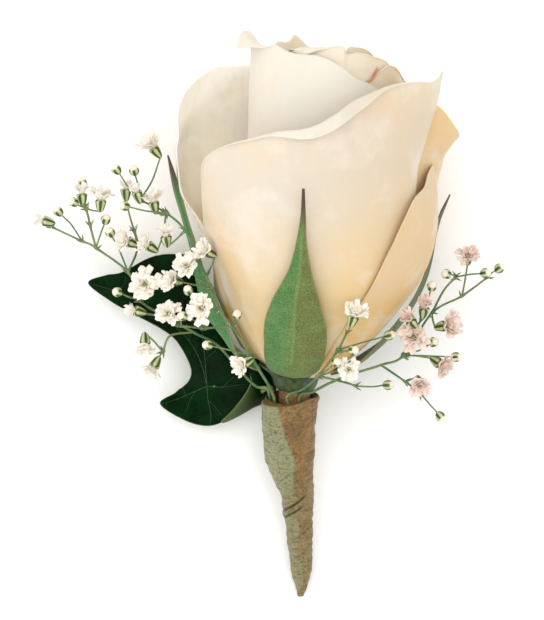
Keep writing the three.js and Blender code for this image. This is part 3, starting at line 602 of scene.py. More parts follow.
def petal(name, stations, bud=None):
    s = np.array([(*station, 0)[:6] for station in stations], float)
    columns, rows = (110, 52) if bud is None else (96, 30)
    u, v = np.meshgrid(with_rims(columns), up_a_petal(rows), indexing="ij")
    seed = sum(map(ord, name))
    lip = np.maximum(smooth(s[:, 4 if bud is None else 3], u), 0.06)
    top = smooth(s[:, 1], u)
    foot = PETAL_FOOT if bud is None else bud[3]
    ruffle = waves(seed + 1, 7, 0.35, 0.8)
    azimuth = smooth(s[:, 0], u)
    arc = np.radians(azimuth) * (OUTER_GIRTH if bud is None else bud[0])
    top = top + 0.28 * ruffle(arc, 0 * arc) * step(0, 0.1, u) * step(0, 0.1, 1 - u)
    roll = np.minimum(lip / ROLL, WIDE_ROLL_RADIUS if name == "bud_front" else ROLL_RADIUS)
    flat = top - roll - foot
    length = v * (flat + lip)
    z = foot + np.minimum(length, flat)
    over = np.maximum(length - flat, 0)
    w = (z - foot) / flat
    if bud is None:
        azimuth = azimuth + smooth(s[:, 5], u) * (z / top) ** 3
        radius = cup_radius(z) - (smooth(s[:, 2], u) + smooth(s[:, 3], u) * (z / top) ** 4) * shrink(z)
        radius = radius + left_fullness((azimuth + 180) % 360 - 180, z)
        axis = cup_bow(z)
    else:
        base, start, end, _ = bud
        radius = base + smooth(s[:, 2], u) * w ** 9 - 0.9 * w ** 6 - 2.0 * (1 - w) ** 2 * (base / 15)
        axis = start + (end - start) * np.clip((z - 16) / 30, 0, 1)
    swell = waves(seed, 9, 0.12, 0.34)(arc, z) * (0.34 if bud is None else 0.22)
    flutter = waves(seed + 2, 9, 0.5, 1.1)(arc, z) * 0.11
    radius = radius + (swell * w ** 1.5 + flutter * w ** 5) * step(0, 6, z - foot)
    turn = np.minimum(over / roll, ROLL)
    hang = over - turn * roll
    radius = radius + roll * (1 - np.cos(turn)) + hang * np.sin(turn)
    z = z + roll * np.sin(turn) + hang * np.cos(turn)
    middle = rested(round_bloom(azimuth, radius, z, axis), REST_CLEAR.get(name, 1.3))
    span = np.linalg.norm(np.diff(middle, axis=0), axis=-1).sum(0).mean()
    rise = np.linalg.norm(np.diff(middle, axis=1), axis=-1).sum(1).mean()
    rim = np.minimum(np.minimum(u, 1 - u) * span, (1 - v) * rise)
    thickness = PETAL_THICK * (0.45 + 0.55 * step(0, 6, rim)) * rounded(rim / 0.22, 0.05)
    # the right side of the bloom, away from the light, is tinted warmer and darker as painted shade, and so
    # is the inside deep in the cup; towards the foot the tint is also the rose's own peach
    right = step(-25, 60, azimuth) * (1 - step(150, 200, azimuth))
    outside = OUTER_PEACH_AND_SHADE.get(name, 0.04) + 0.42 * right * (1 - 0.55 * w) + 0.4 * (1 - step(0, 26, z - foot))
    if name == "front_petal":
        outside = outside + 0.5 * np.exp(-((azimuth + 62) / 17) ** 2 - ((z - 25) / 10) ** 2)
    if name == "bud_front":
        outside = outside + 0.2 * (1 - step(46, 58, z))
    inside = INNER_PEACH_AND_SHADE.get(name, 0.3) + 0.35 * (1 - step(20, 45, z))
    # painted shade along the fold by the heart, where one petal tucks under the next
    stain = np.zeros_like(z)
    if name in ("heart_front", "bud_right"):
        spot = np.stack([azimuth.ravel() * 0.24, z.ravel()], -1)
        fold = np.array([(a * 0.24, b) for a, b in CREVICE])
        stain = (np.exp(-(to_lines(spot, [fold]) / 0.35) ** 2) * 0.85).reshape(z.shape)
    faces_out = np.einsum("ijk,ijk->ij", np.cross(np.gradient(middle, axis=0), np.gradient(middle, axis=1)),
                          middle - round_bloom(0 * u, 0 * u, z, axis)).mean() > 0
    warm = (outside, inside) if faces_out else (inside, outside)
    return blade(name, middle, thickness, {
        "reach": z / top, "stain": stain, "pale": PAINTED_LIGHT.get(name, 0) * step(12, 32, z),
        "warm": tuple(np.clip(x, 0, 1) for x in warm)}, np.stack([arc, z + over], -1))


def rose_bloom(finish):
    petals = [petal(name, stations) for name, stations in OUTER_PETALS.items()]
    petals += [petal(name, stations, (radius, start, end, foot))
               for name, (radius, start, end, foot, stations) in BUD_PETALS.items()]
    profile = np.array([(.3, 3), (2, 4.9), (4, 6.9), (7, 9.2), (11, 11.8), (16, 13.6), (18, 12.6), (18.5, 6)])
    line = smooth_line(profile, 40)
    a = np.linspace(0, 360, 64, endpoint=False)
    rings = np.array([round_bloom(a, r, np.full_like(a, z), cup_bow(z)) for z, r in line])
    none = np.zeros(rings.shape[:2])
    # the seat deep in the cup takes the peach tint, partly as painted shade
    seat = sleeve("petal_seat", rings, {
        "reach": np.tile(line[:, :1] / 60, 64), "warm": none + 0.6, "stain": none, "pale": none})
    for ob in petals + [seat]:
        ob.data.materials.append(finish)
        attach(ob, "root")
        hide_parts("rose_bloom")


# ---------------------------------------------------------------- calyx and stem
SEPAL_OUTLINE = [.47, .89, 1, .93, .67, .35, .17, .08, .04]
SIDE_OUTLINE = [.47, .8, .86, .78, .66, .52, .4, .3, .25, .27, .2, .05]
SEPALS = {              # azimuths, half width, lift off the petals, rest, tip, shade, twist
    "sepal_front": (
        [-18.5, -16, -15, -14.5, -12.5, -9.5, -7, -4, -1.5], 6.05, [0, 0, 0, 0, .2, .5], 0, 40.2, 0.0, 0),
    "sepal_left": (
        [-88, -90, -92, -93, -92, -90], 4.6, [0, 2.8, 3.5, 3.5, 3.1, 2.3, 1.6, 1.3, 1, .7, .4], 0.8, 40.5,
        1.0, -.6),
    "sepal_right": (
        [76, 86, 96, 101, 104, 103, 96], 4.9, [0, 1.1, 1.4, 1.3, .9, .4, 0, -.3, 0, 1], 0.8, 34.9, 0.0, .5),
    "sepal_back_right": ([140, 135, 130, 128, 127, 126], 4, [0, .3, .3, .3, .4, .6], 1.5, 29, 0.3, 0),
    "sepal_back_left": ([-157, -145, -136, -132, -130, -129], 4, [0, .3, .3, .3, .4, .6], 1.2, 30, 0.6, 0),
}
SEPAL_FOOT = 1.7


def sepal(name, azimuths, width, off, rest, tip, dark, twist):
    u, v = np.meshgrid(with_rims(40), np.linspace(0, 1, 150), indexing="ij")
    z = SEPAL_FOOT + (tip - SEPAL_FOOT) * v ** 1.15
    h = (z + 1) / (tip + 1)
    teeth = waves(sum(map(ord, name)), 6, 0.6, 1.6)
    base = 1 - np.clip((z - SEPAL_FOOT) / 2.4, 0, 1)
    outline = SIDE_OUTLINE if twist else SEPAL_OUTLINE
    half = width * np.maximum(smooth(outline, h), 0.8 * (h < 0.16)) * (0.3 + 0.7 * np.sqrt(1 - base * base))
    half = np.maximum(0.22, half * (1 + 0.007 * teeth(z, np.sign(u - 0.5) * 9)))
    across = half * (2 * u - 1)
    seat = cup_radius(np.maximum(0, z)) + rest * shrink(z) + 1.25
    bend = 0.12 * waves(5 + len(name), 5, 0.2, 0.5)(across, z) * step(0, 8, z)
    ridge = np.exp(-(across / 0.42) ** 2) * step(0.02, 0.2, h)
    radius = seat + smooth(off, h) + 0.02 * np.abs(across) ** 1.5 + bend + 0.12 * ridge
    radius = radius + twist * across * step(3, 12, z) - 1.1 * base ** 3
    azimuth = smooth(azimuths, h) + np.degrees(across / radius)
    middle = round_bloom(azimuth, radius, z, cup_bow(z))
    rim = half - np.abs(across)
    thickness = (0.3 + 0.4 * step(0, 2.2, rim)) * rounded(rim / 0.2, 0.06)
    thickness = np.maximum(thickness * (1 - 0.3 * step(0.9, 1, h)), 0.02)
    # the right sepal is darkened by painted shade
    return blade(name, middle, thickness, {
        "across": 2 * u - 1, "reach": h, "margin": 1 - step(0.0, 0.55, rim), "rib": ridge,
        "dark": np.full_like(h, dark), "dim": np.full_like(h, 0.7 * (name == "sepal_right"))},
        np.stack([across, z], -1))


WRAP = np.array([       # sheet x, sheet y, height, radius
    (290, 397, 12.9, 5), (289.5, 414, 12, 4.8), (289, 433, 10.9, 4.7), (291, 461, 9.3, 4.3),
    (296, 486, 7.6, 3.3), (298, 510, 6.1, 2.75), (300.5, 547, 4.1, 2.15), (302, 578, 2.2, 1.5),
    (300.5, 596, 1, .45)])


def wrap_point(t):
    return at(*(smooth(WRAP[:, k], t) for k in range(3)))


def wrap_radius(t):
    return smooth(WRAP[:, 3], t)


WRAP_AXIS = unit(wrap_point(0) - wrap_point(0.25))
WRAP_SIDE = unit(np.array([1.0, 0, 0]) - WRAP_AXIS * WRAP_AXIS[0])
WRAP_UP = np.cross(WRAP_SIDE, WRAP_AXIS)
STEM_ASIDE = np.array([0.8, 0, 0])      # the stem stands this far from the middle of the wrap


def calyx_and_stem(finish_sepal, finish_neck):
    line = [wrap_point(0) - WRAP_AXIS * d + STEM_ASIDE for d in (11, 6, 0)]
    line += [in_bloom(-0.2, 0, -2.4), in_bloom(0.0, 0, -0.9)]
    line = smooth_line(line, 60)
    stem = sleeve("rose_stem", rings_along(line, 2.2 + 0.06 * np.sin(np.arange(60) * 0.7), 40))
    profile = smooth_line([(-2.3, 2), (-2.15, 2.8), (-1.7, 3.4), (-.9, 3.85), (0, 4.15), (1, 4.7), (2, 5.9),
                           (2.7, 6.7), (2.8, 6.3), (2.6, 4.6)], 60)
    a = np.linspace(0, 360, 72, endpoint=False)
    ridges = 1 + 0.018 * np.cos(np.radians(a) * 5 + 0.6) + 0.006 * np.cos(np.radians(a) * 17)
    rings = [round_bloom(a, r * ridges, np.full_like(a, z), 0) for z, r in profile]
    neck = sleeve("receptacle", np.array(rings))
    for ob in (stem, neck):
        ob.data.materials.append(finish_neck)
    sepals = [sepal(name, *plan) for name, plan in SEPALS.items()]
    for ob in sepals:
        ob.data.materials.append(finish_sepal)
    for ob in (stem, neck, *sepals):
        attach(ob, "root")
        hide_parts("rose_calyx_stem")


# ---------------------------------------------------------------- tape wrap
BORE = 4.4                      # radius inside the mouth
WALL = 0.75
CREASES = [             # distance from the mouth, width, depth, and the azimuths it runs between
    (19.6, .26, 1.3, -75, 45), (21.1, .24, 1.2, -80, 30), (7.0, .2, .4, 0, 95), (12.9, .15, .5, -60, 10),
    (26.4, .2, .45, -40, 80), (30.2, .2, .4, -70, 50), (3.4, .2, .35, -90, -10)]


def tape_wrap(finish):
    """The wound sleeve, open at its mouth, with the lap of its seam, its creases and its crepe."""
    steps, sides = 300, 150
    t = np.linspace(1, 0, steps)
    line = np.array([wrap_point(x) for x in t])
    rings = rings_along(line, [1.0] * steps, sides)
    spoke = rings - line[:, None]
    turn = np.degrees(np.arctan2(spoke[..., 0], spoke[..., 2]))          # 0 on top, + to the right
    radius = wrap_radius(t)[:, None] * np.ones(sides)
    run = np.concatenate([[0], np.linalg.norm(np.diff(line, axis=0), axis=1).cumsum()])
    down = (run[-1] - run)[:, None] * np.ones(sides)                     # from the mouth
    seam = np.interp(down, [0, 11, 16, 22, 30, 36.5], [-30, 12, -4, 0, 6, 8])
    past = (turn - seam + 180) % 360 - 180                               # from the seam, + to its right
    lap = step(-3, 3, -past) * (1 - step(120, 170, -past))
    coarse = waves(11, 9, 0.5, 1.1)(np.radians(turn) * radius, down)
    crepe = waves(12, 14, 1.6, 4.2)(np.radians(turn) * radius * 0.55, down * 1.5)
    slant = down + np.radians(turn) * radius * 0.62
    pleat = sum(g * np.exp(-((slant - p) / wd) ** 2) * step(a0, a0 + 25, turn) * (1 - step(a1 - 25, a1, turn))
                for p, wd, g, a0, a1 in CREASES)
    back = np.exp(-(((down + past * 0.06) % 9.5 - 4.7) / 0.25) ** 2) * step(70, 110, abs(turn))
    radius = radius + 0.16 * lap + 0.1 * coarse + 0.05 * crepe - 0.26 * pleat - 0.12 * back
    radius = radius + 0.25 * np.exp(-(down / 0.9) ** 2) * coarse * 0.6
    radius = np.maximum(radius, 0.35)
    radius[0] *= 0.45
    radius[1] *= 0.8
    outer = line[:, None] + spoke * radius[..., None]
    slope = 0.75 * np.sin(np.radians(turn)) - 0.2 + 0.18 * np.sin(np.radians(turn) * 3)
    outer = outer + (slope * (1 - step(0, 9, down)))[..., None] * WRAP_AXIS
    depth = [0.0, *np.linspace(0.004, 0.4, 40)]                          # shares of the wrap's length
    mouth = outer[-1]
    centre = wrap_point(0)
    lip = centre + (mouth - centre) * 0.95 + WRAP_AXIS * 0.12
    about = np.arctan2(*(mouth - centre)[:, [0, 2]].T)[:, None]
    spread = np.sin(about) * WRAP_SIDE + np.cos(about) * WRAP_UP
    inner = [wrap_point(d) + spread * (min(BORE, wrap_radius(d) - WALL) if d else BORE) for d in depth]
    rings_all = np.concatenate([outer, lip[None], np.array(inner)])
    pad = np.zeros((len(rings_all) - steps, sides))
    # painted shade: the creases, and at half strength the inside of the mouth, are darkened
    attributes = {"lap": np.concatenate([lap, pad]), "low": np.concatenate([step(10, 24, down), pad]),
                  "crease": np.concatenate([np.clip(pleat, 0, 1), pad + 0.5])}
    uv = np.zeros((len(rings_all), sides, 2))
    uv[:steps, :, 0] = np.radians(turn) * wrap_radius(t)[:, None]
    uv[:steps, :, 1] = down
    ob = sleeve("floral_tape_wrap", rings_all, attributes,
                np.concatenate([uv.reshape(-1, 2), [[0, 36], [0, 0]]]))
    ob.data.materials.append(finish)
    # a narrow band of the same tape closes round the stem above the mouth
    band_line = smooth_line([centre + WRAP_AXIS * rise + STEM_ASIDE for rise in (-3, 0, 1.6)], 30)
    rings = rings_along(band_line, 2.85 + 0.05 * np.sin(np.arange(30) * 1.3), 60)
    uv = np.stack(np.meshgrid(np.arange(30) * 0.2, np.arange(60) * 0.25, indexing="ij"), -1)[..., ::-1]
    band = sleeve("inner_tape_band", rings, {key: np.zeros((30, 60)) for key in attributes},
                  np.concatenate([uv.reshape(-1, 2), [[0, 0], [0, 0]]]))
    band.data.materials.append(finish)
    for piece in (ob, band):
        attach(piece, "root")
        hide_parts("tape_wrap")


# ---------------------------------------------------------------- ivy leaf
LEAF_OUTLINE = [
    (242, 402), (227, 419), (209, 426), (186, 421), (160, 404), (176, 392), (189, 380), (190, 366),
    (177, 342), (161, 329), (133, 314), (110, 301), (88, 283), (106, 275), (122, 272), (151, 257), (175, 254),
    (193, 259), (204, 290), (214, 325), (230, 346), (246, 360), (252, 376), (250, 390)]
LEAF_CENTRE = (207.0, 386.0)
LEAF_PITCH = 2.9                # between the inner points of the blade, in squares of the sheet
LEAF_VEINS = [          # the five main veins from the middle of the leaf, and what branches off them
    [(207, 386), (201, 363), (190, 342), (172, 324), (146, 306), (118, 292), (92, 284)],
    [(207, 386), (196, 391), (180, 398), (162, 404)], [(207, 386), (208, 400), (211, 414), (210, 425)],
    [(207, 386), (222, 387), (246, 384)], [(207, 386), (205, 360), (201, 320), (198, 285), (192, 262)],
    [(196, 391), (190, 400), (186, 412)], [(186, 395), (182, 388), (176, 392)],
    [(208, 400), (216, 408), (222, 416)], [(190, 342), (186, 322), (182, 300)],
    [(146, 306), (154, 292), (158, 272)], [(118, 292), (124, 284), (126, 276)],
    [(172, 324), (160, 321), (148, 317)], [(205, 360), (216, 350), (224, 346)],
    [(201, 320), (208, 306), (208, 296)], [(222, 388), (230, 380), (238, 374)]]
MAIN_VEINS = 5


def leaf_height(x, y):
    dx, dy = (x - LEAF_CENTRE[0]) * SHEET, (LEAF_CENTRE[1] - y) * SHEET
    along = -dx * 0.72 + dy * 0.69
    across = dx * 0.69 + dy * 0.72
    return 6.2 + 0.02 * along - 0.0011 * along * along - 0.012 * across * across + 0.05 * across


def leaf_swell(x, y):
    return 0.14 * waves(21, 7, 0.5, 1.0)(x * SHEET, y * SHEET)


def ivy_leaf(finish, finish_vein, finish_stalk):
    outline = np.array(LEAF_OUTLINE, float)
    closed = np.concatenate([outline[-1:], outline, outline[:2]])
    edge = np.array([between(*closed[i:i + 4], f) for i in range(len(outline))
                     for f in np.linspace(0, 1, 14, endpoint=False)])
    rows = np.array([(x, y) for r, y in enumerate(np.arange(246, 432, LEAF_PITCH * 0.866))
                     for x in np.arange(82 + (r % 2) * LEAF_PITCH / 2, 252, LEAF_PITCH)])
    inside = np.zeros(len(rows), bool)
    for a, b in zip(edge, np.roll(edge, -1, axis=0)):
        cross = (a[1] > rows[:, 1]) != (b[1] > rows[:, 1])
        with np.errstate(divide="ignore", invalid="ignore"):
            x = (b[0] - a[0]) * (rows[:, 1] - a[1]) / (b[1] - a[1]) + a[0]
        inside ^= cross & (rows[:, 0] < x)
    away = to_lines(rows, [np.concatenate([edge, edge[:1]])])
    rows = rows[inside & (away > 1.6)]
    flat = np.concatenate([edge, rows])
    count = len(edge)
    bounds = [(i, (i + 1) % count) for i in range(count)]
    result = delaunay_2d_cdt([Vector(p) for p in flat], bounds, [], 1, 1e-6)
    flat = np.array([tuple(p) for p in result[0]])
    faces = [tuple(f) for f in result[2]]
    lines = [smooth_line(v, 24) for v in LEAF_VEINS]
    main = to_lines(flat, lines[:MAIN_VEINS]) * SHEET
    minor = to_lines(flat, lines[MAIN_VEINS:]) * SHEET
    rim = to_lines(flat, [np.concatenate([edge, edge[:1]])]) * SHEET
    height = leaf_height(flat[:, 0], flat[:, 1]) - 0.16 * np.exp(-(main / 0.6) ** 2)
    height += -0.1 * np.exp(-(minor / 0.5) ** 2) + leaf_swell(flat[:, 0], flat[:, 1])
    margin = 0.88 * (1 - step(0.05, 0.5, rim))
    top = np.array([at(x, y, z) for (x, y), z in zip(flat, height)])
    thick = 0.26 + 0.3 * step(0, 0.8, rim)
    low = top - np.array([0, 0, 1.0]) * thick[:, None]
    size = len(flat)
    a, b, c = (top[[f[k] for f in faces]] for k in range(3))
    upward = np.cross(b - a, c - a)[:, 2].mean() > 0
    faces = [f if upward else f[::-1] for f in faces]
    edges = {}
    for f in faces:
        for p, q in zip(f, f[1:] + f[:1]):
            edges[(p, q)] = True
    rims = [(q, p, p + size, q + size) for p, q in edges if (q, p) not in edges]
    points = np.concatenate([top, low])
    every = list(faces) + [tuple(i + size for i in f[::-1]) for f in faces] + rims
    attributes = {"margin": np.tile(margin, 2), "under": np.repeat([0.0, 1.0], size)}
    blade_object = mesh_object("ivy_leaf_blade", points, every, attributes)
    blade_object.data.materials.append(finish)
    root = at(213, 386, leaf_height(213, 386) - 0.3)
    stalk_line = smooth_line([in_wrap(-118, 7), in_wrap(-118, 0.6), in_wrap(-118, -1.2, 4.3),
                              at(255, 394, 4.9), at(233, 389, 4.9), root], 60)
    radii = np.interp(np.linspace(0, 1, 60), [0, .5, .6, 1], [.4, .4, .5, .42])
    stalk = sleeve("ivy_stalk", rings_along(stalk_line, radii, 14))
    stalk.data.materials.append(finish_stalk)
    ribs = []
    for k, line in enumerate(lines):
        x, y = line.T
        sunk, thick = (0.16, 0.09) if k < MAIN_VEINS else (0.1, 0.05)
        height = leaf_height(x, y) - sunk + leaf_swell(x, y)
        path = [at(*p) for p in zip(x, y, height + 0.02)]
        ribs.append(sleeve(f"rib_{k}", rings_along(path, np.linspace(thick, 0.03, len(path)), 6)))
    knot = [root + [across, 0, rise] for across, rise in ((-.35, .1), (0, 0), (.35, .1))]
    ribs.append(sleeve("rib_knot", rings_along(knot, [.1, .3, .1], 10)))
    ribs = joined("ivy_leaf_veins", ribs)
    ribs.data.materials.append(finish_vein)
    # the edge by the stem rolls up and over, and shows the paler side of the leaf; towards its far part the
    # pale fades to the dark leaf colour as painted shade, and a painted highlight runs along its fold
    inner = smooth_line([(221, 421.5, 7.2), (232, 410.5, 7.6), (244, 395, 7.8), (250.5, 382, 7.8),
                         (248, 368, 8), (243, 356, 8.6)], 60)
    outer = smooth_line([(222, 423, 6.4), (236, 417.5, 5.2), (254, 407.5, 4.8), (270, 400, 5),
                         (276, 386, 6), (262, 360, 7)], 60)
    u = np.linspace(0, 1, 60)[:, None]
    v = np.linspace(0, 1, 26)[None]
    flap = inner[:, None] * (1 - v[..., None]) + outer[:, None] * v[..., None]
    arch = np.sin(math.pi * np.clip(v * 0.9 + 0.1, 0, 1)) * np.sin(math.pi * np.clip(u, 0.05, 0.95))
    flap[..., 2] += 1.2 * arch
    flap[..., 2] += 0.15 * waves(31, 6, 0.5, 1.2)(flap[..., 0] * SHEET, flap[..., 1] * SHEET)
    middle = np.array([[at(*p) for p in row] for row in flap])
    near = np.minimum(np.minimum(u, 1 - u) * 12, np.minimum(v, 1 - v) * 4)
    curl = blade("ivy_leaf_rolled_edge", middle, 0.12 + 0.36 * step(0, 0.5, near), {
        # the margin here is a painted highlight along the fold; the underside fades out as painted shade
        "margin": (1 - step(0.02, 0.14, v)) * (1 - 0.6 * step(0.6, 0.85, u)),
        "under": (1 - step(0.25, 0.75, u + 0.3 * v)) * 0.75}, middle[..., :2])
    curl.data.materials.append(finish)
    for ob in (blade_object, ribs, curl, stalk):
        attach(ob, "root")
        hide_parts("ivy_leaf")


# ---------------------------------------------------------------- gypsophila
def in_wrap(azimuth, depth, radius=3.65):
    """The point between the stem and the wrap at an azimuth and a depth below the mouth."""
    a = math.radians(azimuth)
    return wrap_point(0) - WRAP_AXIS * depth + (WRAP_SIDE * math.sin(a) + WRAP_UP * math.cos(a)) * radius


# Each spray leaves the wrap at its azimuth. Its stalks run through points of the layout sheet, and a number
# stands for one of those points, counted from 0 through all of them. A floret is [root, head, the way it
# faces, opening, size] and a bud is [root, head].
SPRAYS = {
    "gypsophila_left_front": (-50, [
        [(263, 376, 20), (251, 356, 22.5), (232, 326, 23.5), (220, 310, 23.5), (212, 289, 24),
        (200, 262, 24.5), (185, 230, 23.5), (166, 213, 22.5), (140, 200, 21.5)],
        [2, (205, 328, 24), (180, 326, 23)]], [
        (10, (169, 314, 23), (-.25, .4, .9), 0, .95), (3, (202, 308, 27), (-.45, -.1, .85), 0, 1.15),
        (4, (187, 267, 26), (-.35, .5, .8), 0, 1.1), (4, (174, 281, 21), (-.7, .1, .7), 1, 1),
        ((206, 276, 24.3), (207, 252, 26), (-.6, .3, .5), 1, .85),
        (1, (244, 363, 26), (-.75, -.4, .6), 1, .95), (7, (154, 203, 23), (-.15, .9, .35), 1, 1),
        (6, (166, 237, 24), (-.1, .8, .5), 2, .8), (8, (137, 193, 24), (-.3, .9, .4), 2, .8),
        (8, (154, 149, 18), (-.55, .7, .4), 1, 1.15), (7, (149, 246, 21), (-.75, .5, .5), 1, .95)], [
        (9, (188, 290, 27)), (9, (182, 316, 27)), (2, (237, 314, 27.5)), (1, (207, 345, 25)),
        (8, (116, 169, 21)), (8, (134, 170, 22)), (7, (124, 206, 24))]),
    "gypsophila_left_back": (-85, [
        [(256, 386, 11), (238, 368, 9.2), (216, 344, 10.5), (193, 332, 13), (165, 316, 14.5),
        (140, 300, 15.5), (128, 272, 16), (96, 248, 16), (82, 241, 16), (52, 227, 16)],
        [6, (137, 250, 16), (134, 230, 16)],
        [7, (90, 225, 17), (86, 208, 17)],
        [3, (170, 336, 15), (163, 352, 15)]], [
        (9, (44, 221, 16), (-.95, .25, .25), 2, .85), (13, (82, 195, 17), (-.05, .95, .3), 2, .9),
        (13, (101, 201, 18), (.1, .9, .35), 1, 1.05), (11, (129, 242, 19), (-.8, .3, .5), 1, 1.1),
        (11, (126, 190, 17), (0, .95, .3), 2, .7), (5, (145, 285, 20), (-.1, .25, 1), 0, 1.15),
        (4, (136, 311, 19), (-.85, .2, .5), 2, .7), (15, (145, 343, 15), (.05, -.9, .4), 1, .9),
        (15, (154, 366, 15), (-.45, -.8, .35), 1, .95)], [
        (8, (58, 211, 16)), (13, (73, 202, 18)), (12, (82, 182, 16)), (7, (106, 219, 17)),
        (6, (110, 232, 18)), (5, (117, 292, 17)), (4, (137, 312, 16))]),
    "gypsophila_right_front": (-6, [
        [(303, 389, 19.5), (318, 376, 23.5), (338, 350, 28.5), (347, 332, 31)],
        [1, (340, 381, 23), (356, 386, 22)]], [
        (3, (354, 317, 34.6), (.3, .85, .5), 1, 1.05), (1, (349, 369, 26), (-.15, -.15, 1), 0, .95)], [
        (2, (390, 335, 25)), (2, (354, 350, 30.5)), (1, (337, 362, 29)), (5, (389, 385, 21))]),
    "gypsophila_right_back": (26, [
        [(312, 392, 18.5), (330, 383, 20), (352, 374, 20.5), (381, 365, 19), (404, 355, 18.5),
        (432, 313, 17.5), (462, 296, 17), (488, 277, 16.5)],
        [3, (406, 382, 18), (421, 394, 17)],
        [4, (410, 340, 19), (422, 318, 18)],
        [5, (444, 290, 18), (456, 277, 18)]], [
        (10, (414, 338, 24), (-.15, .2, 1), 0, 1.1), (10, (411, 321, 25.5), (-.5, .6, .7), 2, .9),
        (11, (424, 309, 25), (.1, .8, .6), 2, .95), (5, (444, 326, 20), (.75, .15, .6), 1, 1.15),
        (4, (439, 363, 19), (.65, -.4, .55), 1, 1.05), (8, (419, 383, 21), (.1, -.5, .8), 1, .95),
        (6, (468, 257, 17), (0, .6, .75), 0, .9)], [
        (4, (434, 342, 21)), (4, (457, 357, 17)), (9, (441, 417, 16)), (13, (486, 273, 18.5)),
        (7, (500, 268, 16)), (11, (432, 286, 22.5)), (13, (446, 274, 19))]),
}


# How a floret opens: each ring of petals is [petals, length, width, way up at the foot, way up at the tip].
OPENINGS = {
    "open_floret": [
        (6, 2.5, 2.1, 52, -14), (6, 2.2, 1.8, 66, 10), (5, 1.75, 1.5, 80, 40), (3, 1.3, 1.1, 88, 70)],
    "half_open_floret": [
        (6, 2.8, 2.0, 74, 8), (6, 2.6, 1.8, 80, 30), (5, 2.3, 1.5, 86, 54), (3, 1.9, 1.1, 90, 74)],
    "fan_floret": [
        (6, 2.9, 1.7, 84, 30), (6, 2.8, 1.5, 86, 48), (4, 2.5, 1.3, 88, 66), (3, 2.1, 1.0, 90, 80)],
}


UP_A_FLORET_PETAL = (0.0, 0.3, 0.56, 0.76, 0.9, 1.0)
ACROSS_A_FLORET_PETAL = (-1, -0.72, -0.4, 0, 0.4, 0.72, 1)


def floret_shape(name, seed):
    """One double floret, facing up: rings of thin, wavy, notched petals round a small middle."""
    rng = np.random.RandomState(seed)
    points, faces, reach = [], [], []
    wide = len(ACROSS_A_FLORET_PETAL)
    full = wide * len(UP_A_FLORET_PETAL)        # points on each side of a petal
    for ring, (count, length, width, foot_way, tip_way) in enumerate(OPENINGS[name]):
        for k in range(count):
            turn = (k + 0.5 * ring) / count * 2 * math.pi + rng.uniform(-0.26, 0.26)
            size = length * rng.uniform(0.72, 1.08)
            broad = width * rng.uniform(0.8, 1.2)
            start, end = math.radians(foot_way), math.radians(tip_way + rng.uniform(-16, 16))
            twist, wave = rng.uniform(-0.5, 0.5), rng.uniform(0, 6.3)
            notch = rng.uniform(0.04, 0.26)
            ragged = rng.uniform(0, 0.13, wide)
            base = len(points)
            ca, sa = math.cos(turn), math.sin(turn)
            top, low = [], []
            for v in UP_A_FLORET_PETAL:
                half = broad / 2 * (0.12 + 0.88 * v ** 0.8)
                for j, u in enumerate(ACROSS_A_FLORET_PETAL):
                    cut_in = (0.16 * u ** 4 + notch * max(0, 1 - 3 * abs(u)) + ragged[j]) * step(0.5, 1, v)
                    along = max(v - cut_in, 0) * size
                    way = start + (end - start) * along / size
                    mean = (start + way) / 2
                    r = 0.28 + along * math.cos(mean)
                    y = half * u
                    z = 0.1 + along * math.sin(mean) + 0.2 * v * math.sin(4.6 * u + wave) + twist * y * v
                    lift = 0.045 * (1 - 0.6 * v)
                    for sheet, side in ((top, lift), (low, -lift)):
                        rr, zz = r - side * math.sin(way), z + side * math.cos(way)
                        sheet.append((rr * ca - y * sa, rr * sa + y * ca, zz))
                    reach.append(min(1, along / 2.2))
            points += top + low
            reach += reach[-full:]
            for i in range(base, base + full - wide, wide):
                for a in range(i, i + wide - 1):
                    quad = (a, a + wide, a + wide + 1, a + 1)
                    faces += [quad, tuple(k + full for k in quad[::-1])]
            rim = [*range(wide), *range(2 * wide - 1, full, wide), *range(full - 2, full - wide - 1, -1),
                   *range(full - 2 * wide, 0, -wide)]
            for a, b in zip(rim, rim[1:] + rim[:1]):
                faces.append((base + a, base + b, base + b + full, base + a + full))
    ob = mesh_object(name, points, faces, {"reach": reach})
    bm = bmesh.new()
    bm.from_mesh(ob.data)
    bmesh.ops.recalc_face_normals(bm, faces=bm.faces)
    bm.to_mesh(ob.data)
    bm.free()
    return ob


NAMED = "GeometryNodeInputNamedAttribute"


def growth(name, sockets, plan):
    """A node tree from a table of [label, kind, settings, inputs]. An input is a value, or a pair of a label
    and an output to link from it. What the last node makes is realized and given its finish."""
    tree = bpy.data.node_groups.new(name, "GeometryNodeTree")
    for label, kind in [("Geometry", "Geometry"), *sockets, ("Finish", "Material")]:
        tree.interface.new_socket(label, in_out="INPUT", socket_type="NodeSocket" + kind)
    tree.interface.new_socket("Geometry", in_out="OUTPUT", socket_type="NodeSocketGeometry")
    nodes = {"given": tree.nodes.new("NodeGroupInput")}
    for label, kind, settings, inputs in plan + [
            ("real", "GeometryNodeRealizeInstances", {}, [(0, (plan[-1][0], 0))]),
            ("paint", "GeometryNodeSetMaterial", {}, [
                ("Geometry", ("real", 0)), ("Material", ("given", "Finish"))]),
            ("out", "NodeGroupOutput", {}, [(0, ("paint", 0))])]:
        made = nodes[label] = tree.nodes.new(kind)
        for key, value in settings.items():
            setattr(made, key, value)
        for key, value in inputs:
            if isinstance(value, tuple) and value[0] in nodes:
                tree.links.new(nodes[value[0]].outputs[value[1]], made.inputs[key])
            else:
                made.inputs[key].default_value = value
    return tree


